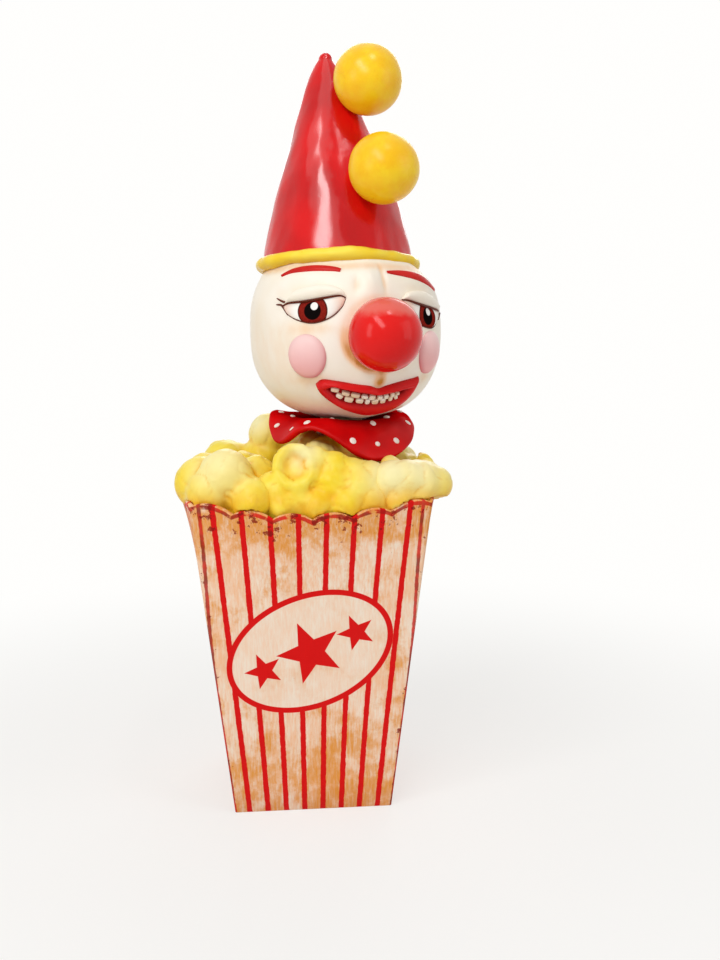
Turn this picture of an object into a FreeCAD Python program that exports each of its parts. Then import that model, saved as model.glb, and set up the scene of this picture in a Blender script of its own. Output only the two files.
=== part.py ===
import FreeCAD, Part
import math
import os

from FreeCAD import Matrix, Placement, Rotation, Vector

os.makedirs("parts", exist_ok=True)

# Driving dimensions, in millimetres. The origin is the middle of the box's underside, +Z is up and the
# front of the box faces -Y. Left and right are the viewer's.

# Striped box: four bowed wall boards with a scalloped rim, on a floor board
box_height = 190.0  # floor to the corners of the rim
box_base_half = 47.0  # half the outer width at the floor
box_rim_half = 68.0  # half the outer width at the corners of the rim
wall = 3.0  # thickness of a wall board, measured level
rim_bow = 9.0  # how far a wall bows out at the middle of its rim
bow_power = 5.0  # the bow fades towards the floor with this power of the height
rim_dip = 8.0  # how far the rim sinks from its corners to its middle
scallop_count = 6  # scallops along the rim of one wall
scallop_rise = 3.5  # height of a scallop over its chord
glue_gap = 0.3  # glue line between a board and the wall that it meets
floor_thickness = 6.0
batten_leg = 10.0  # side of the triangle of a corner batten
cleat_length = 60.0
cleat_width = 8.0
cleat_height = 8.0
guide_drop = 31.0  # corners of the rim down to the top of the guide board
guide_thickness = 5.0

# Spring drive: a stem on a sprung plate, which runs in a bush in the guide board
neck_x = 22.0  # the figure stands to the right of the middle of the box
travel = 22.0  # how far the figure can be pressed down
stem_radius = 6.0
running_gap = 0.08  # radial clearance of the stem in its bush and of the head on the stem
bush_radius = 9.0
bush_flange_radius = 13.0
bush_flange = 4.0
bush_fit = 0.1  # radial clearance of the bush in the guide board
stop_gap = 0.3  # plate to bush at the top of the stroke
plate_radius = 22.0
plate_thickness = 5.0
stem_pocket = 3.0  # depth of the stem's seat in the plate
spring_radius = 17.0  # middle of the wire
wire_radius = 1.2
active_turns = 5
end_pitch = 3.0  # closed turn at each end of the spring
seat_gap = 0.1  # wire to the cup and to the plate
boss_radius = 14.5  # centres the spring from inside
boss_height = 5.0
cup_radius = 20.5
cup_thickness = 3.0
screw_head_radius = 3.4
screw_head_height = 2.4
screw_radius = 1.5
screw_length = 11.0
screw_gap = 0.1

# Bust: a core on the stem, with popcorn round it and a waved collar above
bust_clearance = 3.0  # bust to guide board when it is pressed right down
bust_height = 30.0
bust_base_radius = 26.0
bust_waist_radius = 24.0
bust_top_radius = 19.0
pin_radius = 1.5
pin_length = 40.0
pin_rise = 15.0  # underside of the bust to the cross pin
pin_gap = 0.05
puff_ring_radius = 30.0
puff_radius = 13.5
# Underside of the bust up to the middle of each puff, from the right side on towards the back
puff_rises = [18.0, 20.0, 18.0, 14.0, 20.0, 15.0, 24.0, 12.5, 12.5]
neck_radius = 13.8
neck_height = 16.0
neck_flange_radius = 15.2
neck_flange = 13.4
collar_gap = 0.3
collar_radius = 45.0
collar_thickness = 3.4
collar_root_rise = 2.6  # top of the neck ring's flange to the middle of the collar's root
# Crests and hollows of the collar's edge: direction in degrees from the front towards the right, height over its root
collar_folds = [(-180, 2.8), (-148, -11.0), (-97, 2.8), (-62, -9.5), (-29, 0.0), (24, -18.5), (125, 2.8), (152, -10.5)]
collar_steps = 36

# Head: a full, turned form that swivels on the stem
swivel_gap = 0.3
socket_radius = 13.0
socket_height = 40.0
socket_fit = 0.1
stem_grip = 32.0  # length of the stem inside the head
stem_end_gap = 2.0
head_offset = 3.0  # middle of the head to the right of the stem
head_rise = 60.0  # top of the neck ring to the middle of the head
head_radius = 58.0
head_crown = 46.0  # middle of the head up to its top
head_jaw = 57.0  # middle of the head down to its underside
head_fullness = 2.6  # power of the head's profile: 2 is an ellipse
profile_steps = 8
head_yaw = 13.0  # the face is turned this far to the right, in degrees
nose_radius = 20.8
nose_stand = 8.0  # middle of the nose proud of the face
nose_azimuth = 2.0
nose_drop = -6.0  # degrees of elevation seen from the middle of the head
cheek_radius = 18.0
cheek_stand = 4.0  # top of a cheek proud of the face
cheek_azimuth = 41.0
cheek_elevation = -17.0
eye_azimuth = 38.0
eye_elevation = 6.0
eye_half_width = 19.0
eye_upper = 6.5  # the almond's upper and lower arcs over the line of its corners
eye_lower = 7.5
eye_stand = 1.2
lid_height = 7.0
lid_stand = 2.6
lid_gap = 0.4
brow_elevation = 27.0
brow_half_length = 19.0
brow_arch = 4.0
brow_width = 3.0
brow_stand = 1.8
mouth_elevation = -45.0
mouth_half_width = 31.0
mouth_corner = 3.0
lip_bow = 12.5
lip_dip = 11.0
lip_drop = 14.0
lip_stand = 4.2
slot_half_width = 24.0
slot_top = 8.0
slot_bottom = 3.0
tooth_count = 8
tooth_gap = 0.7
tooth_stand = 2.2
tooth_edge = 0.5  # teeth to the lips

# Hat: a leaning cone on a rolled band, with two balls pinned to it
hat_tilt = 5.0  # the hat leans back, in degrees
hat_seat = 31.0  # middle of the head up to the hat's lower edge
hat_lean = 4.1  # the hat's lower edge to the left of the head's middle
hat_radius = 45.4  # at the lower edge
hat_height = 131.0
hat_swell = 1.26  # power of the cone's taper: 1 is straight
hat_round = 0.765  # below 1 the tip is rounder
hat_tip_lean = 8.8  # the tip bends over to the left
hat_rings = 9
hat_last_ring = 0.985  # share of the height at which the rounded tip starts
band_rise = 3.5  # the hat's lower edge up to the middle of the band
band_roll = 4.0  # radius of the roll
band_stand = 0.6  # middle of the roll proud of the hat
pompom_radius = 20.0
pompom_sink = 0.8  # a ball is bedded this deep in the hat
pompom_upper_rise = 107.5
pompom_upper_azimuth = 40.4
pompom_lower_rise = 51.2
pompom_lower_azimuth = 26.1
pompom_pin_radius = 1.5
pompom_pin_half = 9.0  # length of the pin in the ball and in the hat

# Popcorn heap that stands on the guide board round the figure
well_gap = 2.5  # collar to the heap
seam_gap = 0.3  # heap to heap
heap_fill = 2.0  # corners of the rim down to the top of the plain filling
puff_depth = 14.0  # corners of the rim down to the lowest puff
puff_axis = Vector(0.6, 0.6, 0.5)  # direction of a puff's poles, away from its cut faces
front_seam = 24.0
rear_seam = 22.0
right_seam = 16.0  # seam to the right of the stem
back_seam = 32.0  # seam to the left of the stem, at the back

# Heights that follow, from the floor up
cup_top = floor_thickness + cup_thickness
guide_top = box_height - guide_drop
guide_bottom = guide_top - guide_thickness
bush_bottom = guide_bottom - bush_flange
plate_top = bush_bottom - stop_gap
plate_bottom = plate_top - plate_thickness
bust_bottom = guide_top + travel + bust_clearance
bust_top = bust_bottom + bust_height
neck_top = bust_top + neck_height
flange_top = bust_top + neck_flange
socket_bottom = neck_top + swivel_gap
stem_bottom = plate_top - stem_pocket
stem_top = socket_bottom + stem_grip
head_middle = Vector(neck_x + head_offset, 0, neck_top + head_rise)
well_radius = collar_radius + well_gap
rim_top = box_height + scallop_rise

up = Vector(0, 0, 1)
axis = Vector(neck_x, 0, 0)


def save(name, *solids):
    """Write one node: a single solid, or a group of separate ones."""
    shape = solids[0] if len(solids) == 1 else Part.makeCompound(solids)
    shape.exportStep("parts/" + name + ".step")
    print(name, len(shape.Solids), "solid, valid", shape.isValid(), "volume", round(shape.Volume))


def quarter(shape, turns):
    """Copy a shape of the front wall to another wall."""
    copy = shape.copy()
    copy.rotate(Vector(0, 0, 0), up, 90.0 * turns)
    return copy


def turned(profile, centre=axis):
    """Solid of revolution about an upright axis, from (radius, height) points."""
    points = [Vector(centre.x + r, centre.y, z) for r, z in profile]
    face = Part.Face(Part.makePolygon(points + points[:1]))
    return face.revolve(centre, up, 360)


def block(x0, x1, y0, y1, z0, z1):
    return Part.makeBox(x1 - x0, y1 - y0, z1 - z0, Vector(x0, y0, z0))


def fused(solids):
    """One solid out of several that overlap."""
    return solids[0].multiFuse(solids[1:])


# Walls of the box

def half_width(z):
    """Outer half width of the box, from its middle to a corner line."""
    return box_base_half + (box_rim_half - box_base_half) * z / box_height


def bow(z):
    """How far a wall stands out between its corner lines."""
    return rim_bow * (max(z, 0.0) / box_height) ** bow_power


def side_edge(z, inset):
    """Front edge of the box's plan at a height, moved in by inset."""
    corner = half_width(z) - inset
    left = Vector(-corner, -corner, z)
    right = Vector(corner, -corner, z)
    if bow(z) < 0.001:
        return Part.makeLine(left, right)
    return Part.Arc(left, Vector(0, -corner - bow(z), z), right).toShape()


def plan(z, inset):
    """Whole plan of the box at a height, moved in by inset."""
    return Part.Wire([quarter(side_edge(z, inset), k) for k in range(4)])


def levels(low, high):
    """Heights at which the walls are drawn, closer together towards the rim."""
    marks = [box_height * share for share in (0.0, 0.3, 0.5, 0.65, 0.75, 0.85, 0.93)]
    return [low] + [z for z in marks if low + 1 < z < high - 1] + [high]


def wall_section(z):
    """Mitred section of the front wall."""
    outer = side_edge(z, 0)
    inner = side_edge(z, wall)
    ends = [(outer.Vertexes[k].Point, inner.Vertexes[k].Point) for k in (0, 1)]
    return Part.Wire([outer, Part.makeLine(ends[1][0], ends[1][1]), inner, Part.makeLine(ends[0][1], ends[0][0])])


def above_rim():
    """Everything over the front wall's scalloped edge."""
    reach = box_rim_half + rim_bow + 10
    top = rim_top + 10
    valleys = []
    for k in range(scallop_count + 1):
        share = 2.0 * k / scallop_count - 1
        valleys.append(Vector(box_rim_half * share, 0, box_height - rim_dip * (1 - share ** 2)))
    edges = []
    for left, right in zip(valleys, valleys[1:]):
        crest = (left + right) * 0.5 + Vector(0, 0, scallop_rise)
        edges.append(Part.Arc(left, crest, right).toShape())
    corners = [valleys[-1], Vector(reach, 0, box_height), Vector(reach, 0, top), Vector(-reach, 0, top),
               Vector(-reach, 0, box_height), valleys[0]]
    edges += [Part.makeLine(a, b) for a, b in zip(corners, corners[1:])]
    return Part.Face(Part.Wire(edges)).extrude(Vector(0, -reach, 0))


front_wall = Part.makeLoft([wall_section(z) for z in levels(0, rim_top + 1)], True).cut(above_rim())
for turn, side in enumerate(("front", "right", "back", "left")):
    save(side + "_panel", quarter(front_wall, turn))


# Boards, battens and cleats inside the box

def screw(top, down, gap=0.0):
    """Countersunk wood screw on the stem's axis, head at top, pointing down or up; gap grows it into its hole."""
    way = -1 if down else 1
    shank = screw_radius + gap
    head = screw_head_radius + gap
    profile = [(0, 0), (head, 0), (shank, screw_head_height), (shank, screw_length - 2 * screw_radius + gap),
               (0, screw_length + gap)]
    return turned([(r, top + way * z) for r, z in profile])


def triangle(z):
    """Section of the batten in the front right corner."""
    corner = half_width(z) - wall - glue_gap
    points = [Vector(corner, -corner, z), Vector(corner, -corner + batten_leg, z), Vector(corner - batten_leg, -corner, z)]
    return Part.makePolygon(points + points[:1])


def cleat_section(z):
    """Section of the front cleat, whose ends meet the bowed wall."""
    half = cleat_length / 2
    corner = half_width(z) - wall - glue_gap
    outer = -corner - bow(z) * (1 - (half / corner) ** 2)
    points = [Vector(-half, outer, z), Vector(half, outer, z), Vector(half, outer + cleat_width, z),
              Vector(-half, outer + cleat_width, z)]
    return Part.makePolygon(points + points[:1])


cup_boss_top = cup_top + boss_height
cup_screw = screw(cup_boss_top, True)
floor_board = Part.makeLoft([plan(z, wall + glue_gap) for z in (0, floor_thickness)], True, True)
floor_board = floor_board.cut(screw(cup_boss_top, True, screw_gap))
save("bottom_board", floor_board)

cleat_bottom = guide_bottom - cleat_height
batten = Part.makeLoft([triangle(floor_thickness), triangle(cleat_bottom)], True, True)
save("corner_battens", *[quarter(batten, k) for k in range(4)])
cleat = Part.makeLoft([cleat_section(cleat_bottom), cleat_section(guide_bottom)], True, True)
save("board_cleats", *[quarter(cleat, k) for k in range(4)])

bush_bore = stem_radius + running_gap
bush = turned([(bush_bore, bush_bottom), (bush_flange_radius, bush_bottom), (bush_flange_radius, guide_bottom),
               (bush_radius, guide_bottom), (bush_radius, guide_top), (bush_bore, guide_top)])
guide_hole = Part.makeCylinder(bush_radius + bush_fit, guide_thickness, axis + up * guide_bottom)
guide_board = Part.makeLoft([plan(z, wall + glue_gap) for z in (guide_bottom, guide_top)], True, True).cut(guide_hole)
save("guide_board", guide_board)
save("guide_bush", bush)


# Spring drive

spring_cup = turned([(0, floor_thickness), (cup_radius, floor_thickness), (cup_radius, cup_top), (boss_radius, cup_top),
                     (boss_radius - 1, cup_boss_top), (0, cup_boss_top)])
save("spring_cup", spring_cup.cut(screw(cup_boss_top, True, screw_gap)))
save("cup_screw", cup_screw)

plate_boss = plate_bottom - boss_height
lift_plate = turned([(0, plate_boss), (boss_radius - 1, plate_boss), (boss_radius, plate_bottom),
                     (plate_radius, plate_bottom), (plate_radius, plate_top), (stem_radius, plate_top),
                     (stem_radius, stem_bottom), (0, stem_bottom)])
screw_hole = screw(plate_boss, False, screw_gap)
save("lift_plate", lift_plate.cut(screw_hole))
save("plate_screw", screw(plate_boss, False))


def spring_path(count):
    """Points of the spring's middle line, count to a turn, with a closed turn at each end."""
    start = cup_top + seat_gap + wire_radius
    end = plate_bottom - seat_gap - wire_radius
    pitch = (end - start - 2 * end_pitch) / active_turns
    points = []
    for step in range((active_turns + 2) * count + 1):
        turn = step / count
        z = start + end_pitch * min(turn, 1) + pitch * max(0, min(turn - 1, active_turns))
        z += end_pitch * max(0, turn - 1 - active_turns)
        angle = 2 * math.pi * turn
        points.append(Vector(neck_x + spring_radius * math.cos(angle), spring_radius * math.sin(angle), z))
    return points


def arc_by_tangent(start, corner, end):
    """Arc from start to end that is tangent to the lines through corner."""
    middle = (start + end) * 0.5
    half = (end - start).Length / 2
    out = corner - middle
    sag = half * math.tan(math.atan2(out.Length, half) / 2)
    return Part.Arc(start, middle + out * (sag / out.Length), end).toShape()


def biarc(start, start_way, end, end_way):
    """Two tangent arcs between two points with given directions."""
    chord = end - start
    both = start_way + end_way
    spread = 2 * (1 - start_way.dot(end_way))
    along = chord.dot(both)
    reach = (math.sqrt(along ** 2 + spread * chord.dot(chord)) - along) / spread
    first = start + start_way * reach
    last = end - end_way * reach
    joint = (first + last) * 0.5
    return [arc_by_tangent(start, first, joint), arc_by_tangent(joint, last, end)]


def coil(points):
    """Wire of the spring through the points of its quarter turns."""
    ways = []
    for k in range(len(points)):
        before = points[max(k - 1, 0)]
        after = points[min(k + 1, len(points) - 1)]
        centre = axis + up * points[k].z
        level = up.cross(points[k] - centre)
        level.normalize()
        steps = 2 if 0 < k < len(points) - 1 else 1
        climb = (after.z - before.z) / (steps * spring_radius * math.pi / 2)
        way = level + up * climb
        ways.append(way.normalize())
    edges = []
    for k in range(len(points) - 1):
        edges += biarc(points[k], ways[k], points[k + 1], ways[k + 1])
    return Part.Wire(edges), ways[0]


def least_gap():
    """Smallest distance between neighbouring turns, surface to surface."""
    count = 24
    points = spring_path(count)
    gaps = []
    for k in range(len(points)):
        for other in points[k + count // 2:]:
            gaps.append((other - points[k]).Length)
    return min(gaps) - 2 * wire_radius


spring_points = spring_path(4)
spine, first_way = coil(spring_points)
wire_end = Part.Wire(Part.makeCircle(wire_radius, spring_points[0], first_way))
save("spring", spine.makePipeShell([wire_end], True, False))
print("least gap in the spring", round(least_gap(), 2))


# Stem, bust and collar

pin_centre = axis + up * (bust_bottom + pin_rise)


def cross_pin(gap):
    """Pin through the bust and the stem; gap grows it into its hole."""
    half = pin_length / 2 + gap
    return Part.makeCylinder(pin_radius + gap, 2 * half, pin_centre - Vector(half, 0, 0), Vector(1, 0, 0))


stem = Part.makeCylinder(stem_radius, stem_top - stem_bottom, axis + up * stem_bottom).cut(screw_hole)
save("stem", stem.cut(cross_pin(pin_gap)))
save("bust_pin", cross_pin(0))


def bust_core():
    """Plug on the stem, with a waisted side."""
    bore = stem_radius + pin_gap
    low = Vector(neck_x + bust_base_radius, 0, bust_bottom)
    waist = Vector(neck_x + bust_waist_radius, 0, bust_bottom + bust_height / 2)
    high = Vector(neck_x + bust_top_radius, 0, bust_top)
    inner_high = Vector(neck_x + bore, 0, bust_top)
    inner_low = Vector(neck_x + bore, 0, bust_bottom)
    edges = [Part.Arc(low, waist, high).toShape(), Part.makeLine(high, inner_high),
             Part.makeLine(inner_high, inner_low), Part.makeLine(inner_low, low)]
    return Part.Face(Part.Wire(edges)).revolve(axis, up, 360)


save("bust_core", bust_core().cut(cross_pin(pin_gap)))

puffs = []
for k, rise in enumerate(puff_rises):
    angle = 2 * math.pi * k / len(puff_rises)
    place = Vector(neck_x + puff_ring_radius * math.cos(angle), puff_ring_radius * math.sin(angle), bust_bottom + rise)
    puffs.append(Part.makeSphere(puff_radius, place))
core_room = Part.makeCylinder(bust_base_radius + collar_gap, bust_height + neck_height, axis + up * bust_bottom)
puff_limit = block(-200, 200, -200, 200, bust_bottom, neck_top)
save("bust_popcorn", fused(puffs).cut(core_room).common(puff_limit))

bore = stem_radius + pin_gap
neck_ring = turned([(bore, bust_top), (neck_flange_radius, bust_top), (neck_flange_radius, flange_top),
                    (neck_radius, flange_top), (neck_radius, neck_top), (bore, neck_top)])
save("neck_ring", neck_ring)


def fold_height(direction):
    """Height of the ruffle's edge over its root, in a direction in degrees."""
    first, height = collar_folds[0]
    folds = collar_folds + [(first + 360, height)]
    for (a, low), (b, high) in zip(folds, folds[1:]):
        if a <= direction <= b:
            return low + (high - low) * (1 - math.cos(math.pi * (direction - a) / (b - a))) / 2


def collar_section(direction):
    """Section of the ruffle at one direction: straight faces and a rounded edge."""
    angle = math.radians(direction)
    root = neck_radius + collar_gap
    root_z = flange_top + collar_root_rise
    edge_z = root_z + fold_height(direction)
    half = collar_thickness / 2
    lip = collar_radius - half
    outline = [(root, root_z - half), (lip, edge_z - half), (collar_radius, edge_z), (lip, edge_z + half),
               (root, root_z + half)]
    low, low_lip, tip, high_lip, high = [Vector(neck_x + r * math.sin(angle), -r * math.cos(angle), z) for r, z in outline]
    return Part.Wire([Part.makeLine(low, low_lip), Part.Arc(low_lip, tip, high_lip).toShape(),
                      Part.makeLine(high_lip, high), Part.makeLine(high, low)])


ruffle = [collar_section(collar_folds[0][0] + 360 * k / collar_steps) for k in range(collar_steps)]
save("collar", Part.makeLoft(ruffle, True, False, True))


# Head

def head_form(extra):
    """Head's outer form, grown by extra: a full oval turned about its upright axis."""
    points = []
    for step in range(2 * profile_steps + 1):
        t = math.pi / 2 * (step / profile_steps - 1)
        height = (head_crown if t > 0 else head_jaw) + extra
        r = (head_radius + extra) * max(math.cos(t), 0.0) ** (2 / head_fullness)
        z = math.copysign(height * abs(math.sin(t)) ** (2 / head_fullness), t)
        points.append(head_middle + Vector(r if 0 < step < 2 * profile_steps else 0.0, 0, z))
    curve = Part.BSplineCurve()
    curve.interpolate(Points=points, InitialTangent=Vector(1, 0, 0), FinalTangent=Vector(-1, 0, 0))
    outline = Part.Wire([curve.toShape(), Part.makeLine(points[-1], points[0])])
    return Part.Face(outline).revolve(head_middle, up, 360)


def facing(azimuth, elevation):
    """Direction from the middle of the head: azimuth to the right of the face's middle line, elevation up."""
    a = math.radians(azimuth + head_yaw)
    e = math.radians(elevation)
    return Vector(math.sin(a) * math.cos(e), -math.cos(a) * math.cos(e), math.sin(e))


def reach(elevation):
    """Middle of the head to its surface, at an elevation in degrees."""
    e = math.radians(elevation)
    height = head_crown if e > 0 else head_jaw
    power = (math.cos(e) / head_radius) ** head_fullness + (abs(math.sin(e)) / height) ** head_fullness
    return power ** (-1 / head_fullness)


def ball_on_face(radius, stand, azimuth, elevation):
    """Ball whose middle stands proud of the face by stand, in a direction."""
    return Part.makeSphere(radius, head_middle + facing(azimuth, elevation) * (reach(elevation) + stand))


def projected(outline, azimuth, elevation):
    """Prism of a flat outline, (right, up) as seen along a direction on the face."""
    out = facing(azimuth, elevation)
    a = math.radians(azimuth + head_yaw)
    right = Vector(math.cos(a), math.sin(a), 0)
    rise = out.cross(right)
    turn = Matrix(right.x, rise.x, out.x, head_middle.x, right.y, rise.y, out.y, head_middle.y,
                  right.z, rise.z, out.z, head_middle.z, 0, 0, 0, 1)
    prism = Part.Face(Part.Wire(outline)).extrude(up * (2 * head_radius))
    prism.Placement = Placement(turn)
    return prism


def arcs(*points):
    """Chain of three-point arcs through (right, up) points."""
    spots = [Vector(x, y, 0) for x, y in points]
    return [Part.Arc(spots[k], spots[k + 1], spots[k + 2]).toShape() for k in range(0, len(spots) - 2, 2)]


def patch(outline, stand, azimuth, elevation):
    """Layer of even thickness on the face, cut to an outline."""
    return head_form(stand).cut(head_ball).common(projected(outline, azimuth, elevation))


head_ball = head_form(0)
socket_room = Part.makeCylinder(socket_radius + socket_fit, socket_height + socket_fit, axis + up * socket_bottom)
save("head", head_ball.cut(socket_room))
socket_bore = stem_radius + running_gap
socket = turned([(socket_bore, socket_bottom), (socket_radius, socket_bottom),
                 (socket_radius, socket_bottom + socket_height), (0, socket_bottom + socket_height),
                 (0, stem_top + stem_end_gap), (socket_bore, stem_top + stem_end_gap)])
save("neck_socket", socket)

save("nose", ball_on_face(nose_radius, nose_stand, nose_azimuth, nose_drop).cut(head_ball))
for side, way in (("left", -1), ("right", 1)):
    cheek = ball_on_face(cheek_radius, cheek_stand - cheek_radius, way * cheek_azimuth, cheek_elevation)
    save("cheek_" + side, cheek.cut(head_ball))
    almond = arcs((-eye_half_width, 0), (0, eye_upper), (eye_half_width, 0), (0, -eye_lower), (-eye_half_width, 0))
    save("eye_" + side, patch(almond, eye_stand, way * eye_azimuth, eye_elevation))
    lid_foot = eye_upper + lid_gap
    lid = arcs((-eye_half_width, lid_gap), (0, lid_foot), (eye_half_width, lid_gap),
               (0, lid_foot + lid_height), (-eye_half_width, lid_gap))
    save("eyelid_" + side, patch(lid, lid_stand, way * eye_azimuth, eye_elevation))
    brow_top = brow_arch + brow_width
    brow = arcs((-brow_half_length, 0), (0, brow_arch), (brow_half_length, 0), (0, brow_top), (-brow_half_length, 0))
    save("brow_" + side, patch(brow, brow_stand, way * eye_azimuth, brow_elevation))

mouth = arcs((-mouth_half_width, mouth_corner), (-mouth_half_width / 2, lip_bow), (0, lip_dip),
             (mouth_half_width / 2, lip_bow), (mouth_half_width, mouth_corner), (0, -lip_drop),
             (-mouth_half_width, mouth_corner))
slot_corner = (slot_top - slot_bottom) / 2
slot = arcs((-slot_half_width, slot_corner), (0, slot_top), (slot_half_width, slot_corner), (0, -slot_bottom),
            (-slot_half_width, slot_corner))
save("lips", patch(mouth, lip_stand, 0, mouth_elevation).cut(projected(slot, 0, mouth_elevation)))

bite = arcs((-slot_half_width + tooth_edge, slot_corner), (0, slot_top - tooth_edge),
            (slot_half_width - tooth_edge, slot_corner), (0, -slot_bottom + tooth_edge),
            (-slot_half_width + tooth_edge, slot_corner))
gum = patch(bite, tooth_stand, 0, mouth_elevation)
tooth_pitch = 2 * slot_half_width / tooth_count
teeth = []
for k in range(tooth_count):
    left = -slot_half_width + k * tooth_pitch + tooth_gap / 2
    right = left + tooth_pitch - tooth_gap
    corners = [Vector(left, -lip_drop, 0), Vector(right, -lip_drop, 0), Vector(right, lip_bow, 0), Vector(left, lip_bow, 0)]
    teeth.append(gum.common(projected(Part.makePolygon(corners + corners[:1]).Edges, 0, mouth_elevation)))
save("teeth", *teeth)


# Hat

hat_foot = head_middle + Vector(-hat_lean, 0, hat_seat)
hat_turn = Placement(Vector(0, 0, 0), Rotation(Vector(1, 0, 0), -hat_tilt), head_middle)


def hat_ring(height):
    """Radius of the cone and how far it leans, at a height over its lower edge."""
    share = height / hat_height
    return hat_radius * (1 - share ** hat_swell) ** hat_round, hat_tip_lean * share ** 3


def hat_point(height):
    """Middle of the cone at a height, before the hat leans back."""
    return hat_foot + Vector(-hat_ring(height)[1], 0, height)


def pompom(height, azimuth):
    """Ball bedded on the cone and the pin that holds it, before the hat leans back."""
    a = math.radians(azimuth)
    out = Vector(math.sin(a), -math.cos(a), 0)
    surface = hat_point(height) + out * hat_ring(height)[0]
    ball = Part.makeSphere(pompom_radius, surface + out * (pompom_radius - pompom_sink))
    pin = Part.makeCylinder(pompom_pin_radius, 2 * pompom_pin_half, surface - out * pompom_pin_half, out)
    room = Part.makeCylinder(pompom_pin_radius + pin_gap, 2 * (pompom_pin_half + pin_gap),
                             surface - out * (pompom_pin_half + pin_gap), out)
    return ball, pin, room


def seated(shape):
    """Lean a shape of the hat back about the middle of the head."""
    copy = shape.copy()
    copy.Placement = hat_turn.multiply(copy.Placement)
    return copy


ring_heights = [hat_height * hat_last_ring * k / (hat_rings - 1) for k in range(hat_rings)]
rings = [Part.Wire(Part.makeCircle(hat_ring(z)[0], hat_point(z))) for z in ring_heights]
tip = Part.makeSphere(hat_ring(ring_heights[-1])[0], hat_point(ring_heights[-1]))
body = Part.makeLoft(rings, True)
cone = body.fuse(tip)
upper_ball, upper_pin, upper_room = pompom(pompom_upper_rise, pompom_upper_azimuth)
lower_ball, lower_pin, lower_room = pompom(pompom_lower_rise, pompom_lower_azimuth)
roll = Part.makeTorus(hat_ring(band_rise)[0] + band_stand, band_roll, hat_point(band_rise))
save("hat", seated(cone.cut(upper_room).cut(lower_room)).cut(head_ball))
save("hat_band", seated(roll.cut(body)).cut(head_ball))
save("pompom_upper", seated(upper_ball.cut(cone).cut(upper_room)))
save("pompom_lower", seated(lower_ball.cut(cone).cut(lower_room)))
save("pompom_pins", seated(upper_pin), seated(lower_pin))


# Popcorn heap: each heap is a plain filling with puffs on top. A puff is given by its middle, with the height taken
# over the corners of the rim, and its radius, all as shares of half the rim's width.

over_rim = rim_top + glue_gap
far = 200.0
puff_level = box_height - puff_depth
well = Part.makeCylinder(well_radius, 2 * far, axis + up * (guide_top - 1))
filling = Part.Face(plan(guide_top, wall + glue_gap)).extrude(up * (guide_drop - heap_fill))
seam_x_left = neck_x - well_radius - seam_gap
seam_x_right = neck_x + right_seam
seam_x_back = neck_x - back_seam


def wall_face(along):
    """Level distance from the middle of the box to a wall's inner face, at a place along the wall."""
    corner = half_width(puff_level) - wall - glue_gap
    return corner + bow(puff_level) * max(0.0, 1 - (along / corner) ** 2)


def puff(x, y, rise, radius, cell):
    """One puff, cut clear of the rim below it, of the figure's well and of the next heaps."""
    ball = Part.makeSphere(radius, Vector(x, y, box_height + rise), puff_axis)
    for turn, (along, out) in enumerate(((x, -y), (y, x), (-x, y), (-y, -x))):
        face = wall_face(abs(along) + radius)
        if out + radius > face:
            ball = ball.cut(quarter(block(-far, far, -far, -face, guide_top, over_rim), turn))
    if math.hypot(x - neck_x, y) < well_radius + radius:
        ball = ball.cut(well)
    return ball.common(cell)


def heap(name, limits, lobes):
    """One heap between its seams."""
    x0, x1, y0, y1 = limits
    half = seam_gap / 2
    cell = block(x0 + half, x1 - half, y0 + half, y1 - half, guide_top, guide_top + far)
    puffs = [puff(*[box_rim_half * share for share in lobe], cell) for lobe in lobes]
    save(name, fused([filling.common(cell).cut(well)] + puffs))


heap("popcorn_front_left", (-far, seam_x_left, -far, -front_seam),
     [(-0.78, -0.74, 0.18, 0.28), (-0.50, -0.91, 0.01, 0.19), (-0.50, -0.63, 0.03, 0.21),
      (-0.91, -0.46, 0.01, 0.21), (-0.66, -0.46, 0.04, 0.21), (-0.85, -0.85, -0.03, 0.15)])
heap("popcorn_front", (seam_x_left, seam_x_right, -far, -front_seam),
     [(-0.12, -0.87, 0.31, 0.19), (-0.09, -0.90, 0.12, 0.22), (-0.28, -0.85, 0.07, 0.21),
      (0.18, -0.91, 0.13, 0.21), (0.41, -0.91, 0.10, 0.21), (0.04, -1.00, 0.00, 0.16),
      (0.29, -1.03, -0.01, 0.15)])
heap("popcorn_front_right", (seam_x_right, far, -far, 0),
     [(0.71, -0.84, 0.13, 0.21), (0.88, -0.71, 0.13, 0.21), (0.99, -0.53, 0.09, 0.19),
      (0.74, -0.97, 0.00, 0.16), (0.84, -0.85, -0.01, 0.15)])
heap("popcorn_rear_right", (seam_x_right, far, 0, far),
     [(0.91, 0.68, 0.12, 0.21), (0.71, 0.88, 0.07, 0.21), (1.00, 0.49, 0.04, 0.18), (0.82, 0.82, 0.00, 0.16)])
heap("popcorn_rear", (seam_x_back, seam_x_right, rear_seam, far),
     [(0.06, 0.88, 0.04, 0.24), (0.32, 0.90, 0.03, 0.22), (0.21, 1.00, 0.00, 0.16), (0.49, 0.91, 0.01, 0.19),
      (-0.03, 0.79, 0.01, 0.19)])
heap("popcorn_rear_left", (-far, seam_x_back, rear_seam, far),
     [(-0.32, 0.74, 0.40, 0.21), (-0.38, 0.72, 0.18, 0.23), (-0.75, 0.75, 0.12, 0.25),
      (-0.35, 0.88, 0.12, 0.22), (-0.59, 0.94, 0.00, 0.19), (-0.91, 0.53, 0.06, 0.21),
      (-0.85, 0.85, -0.03, 0.15)])
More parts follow.
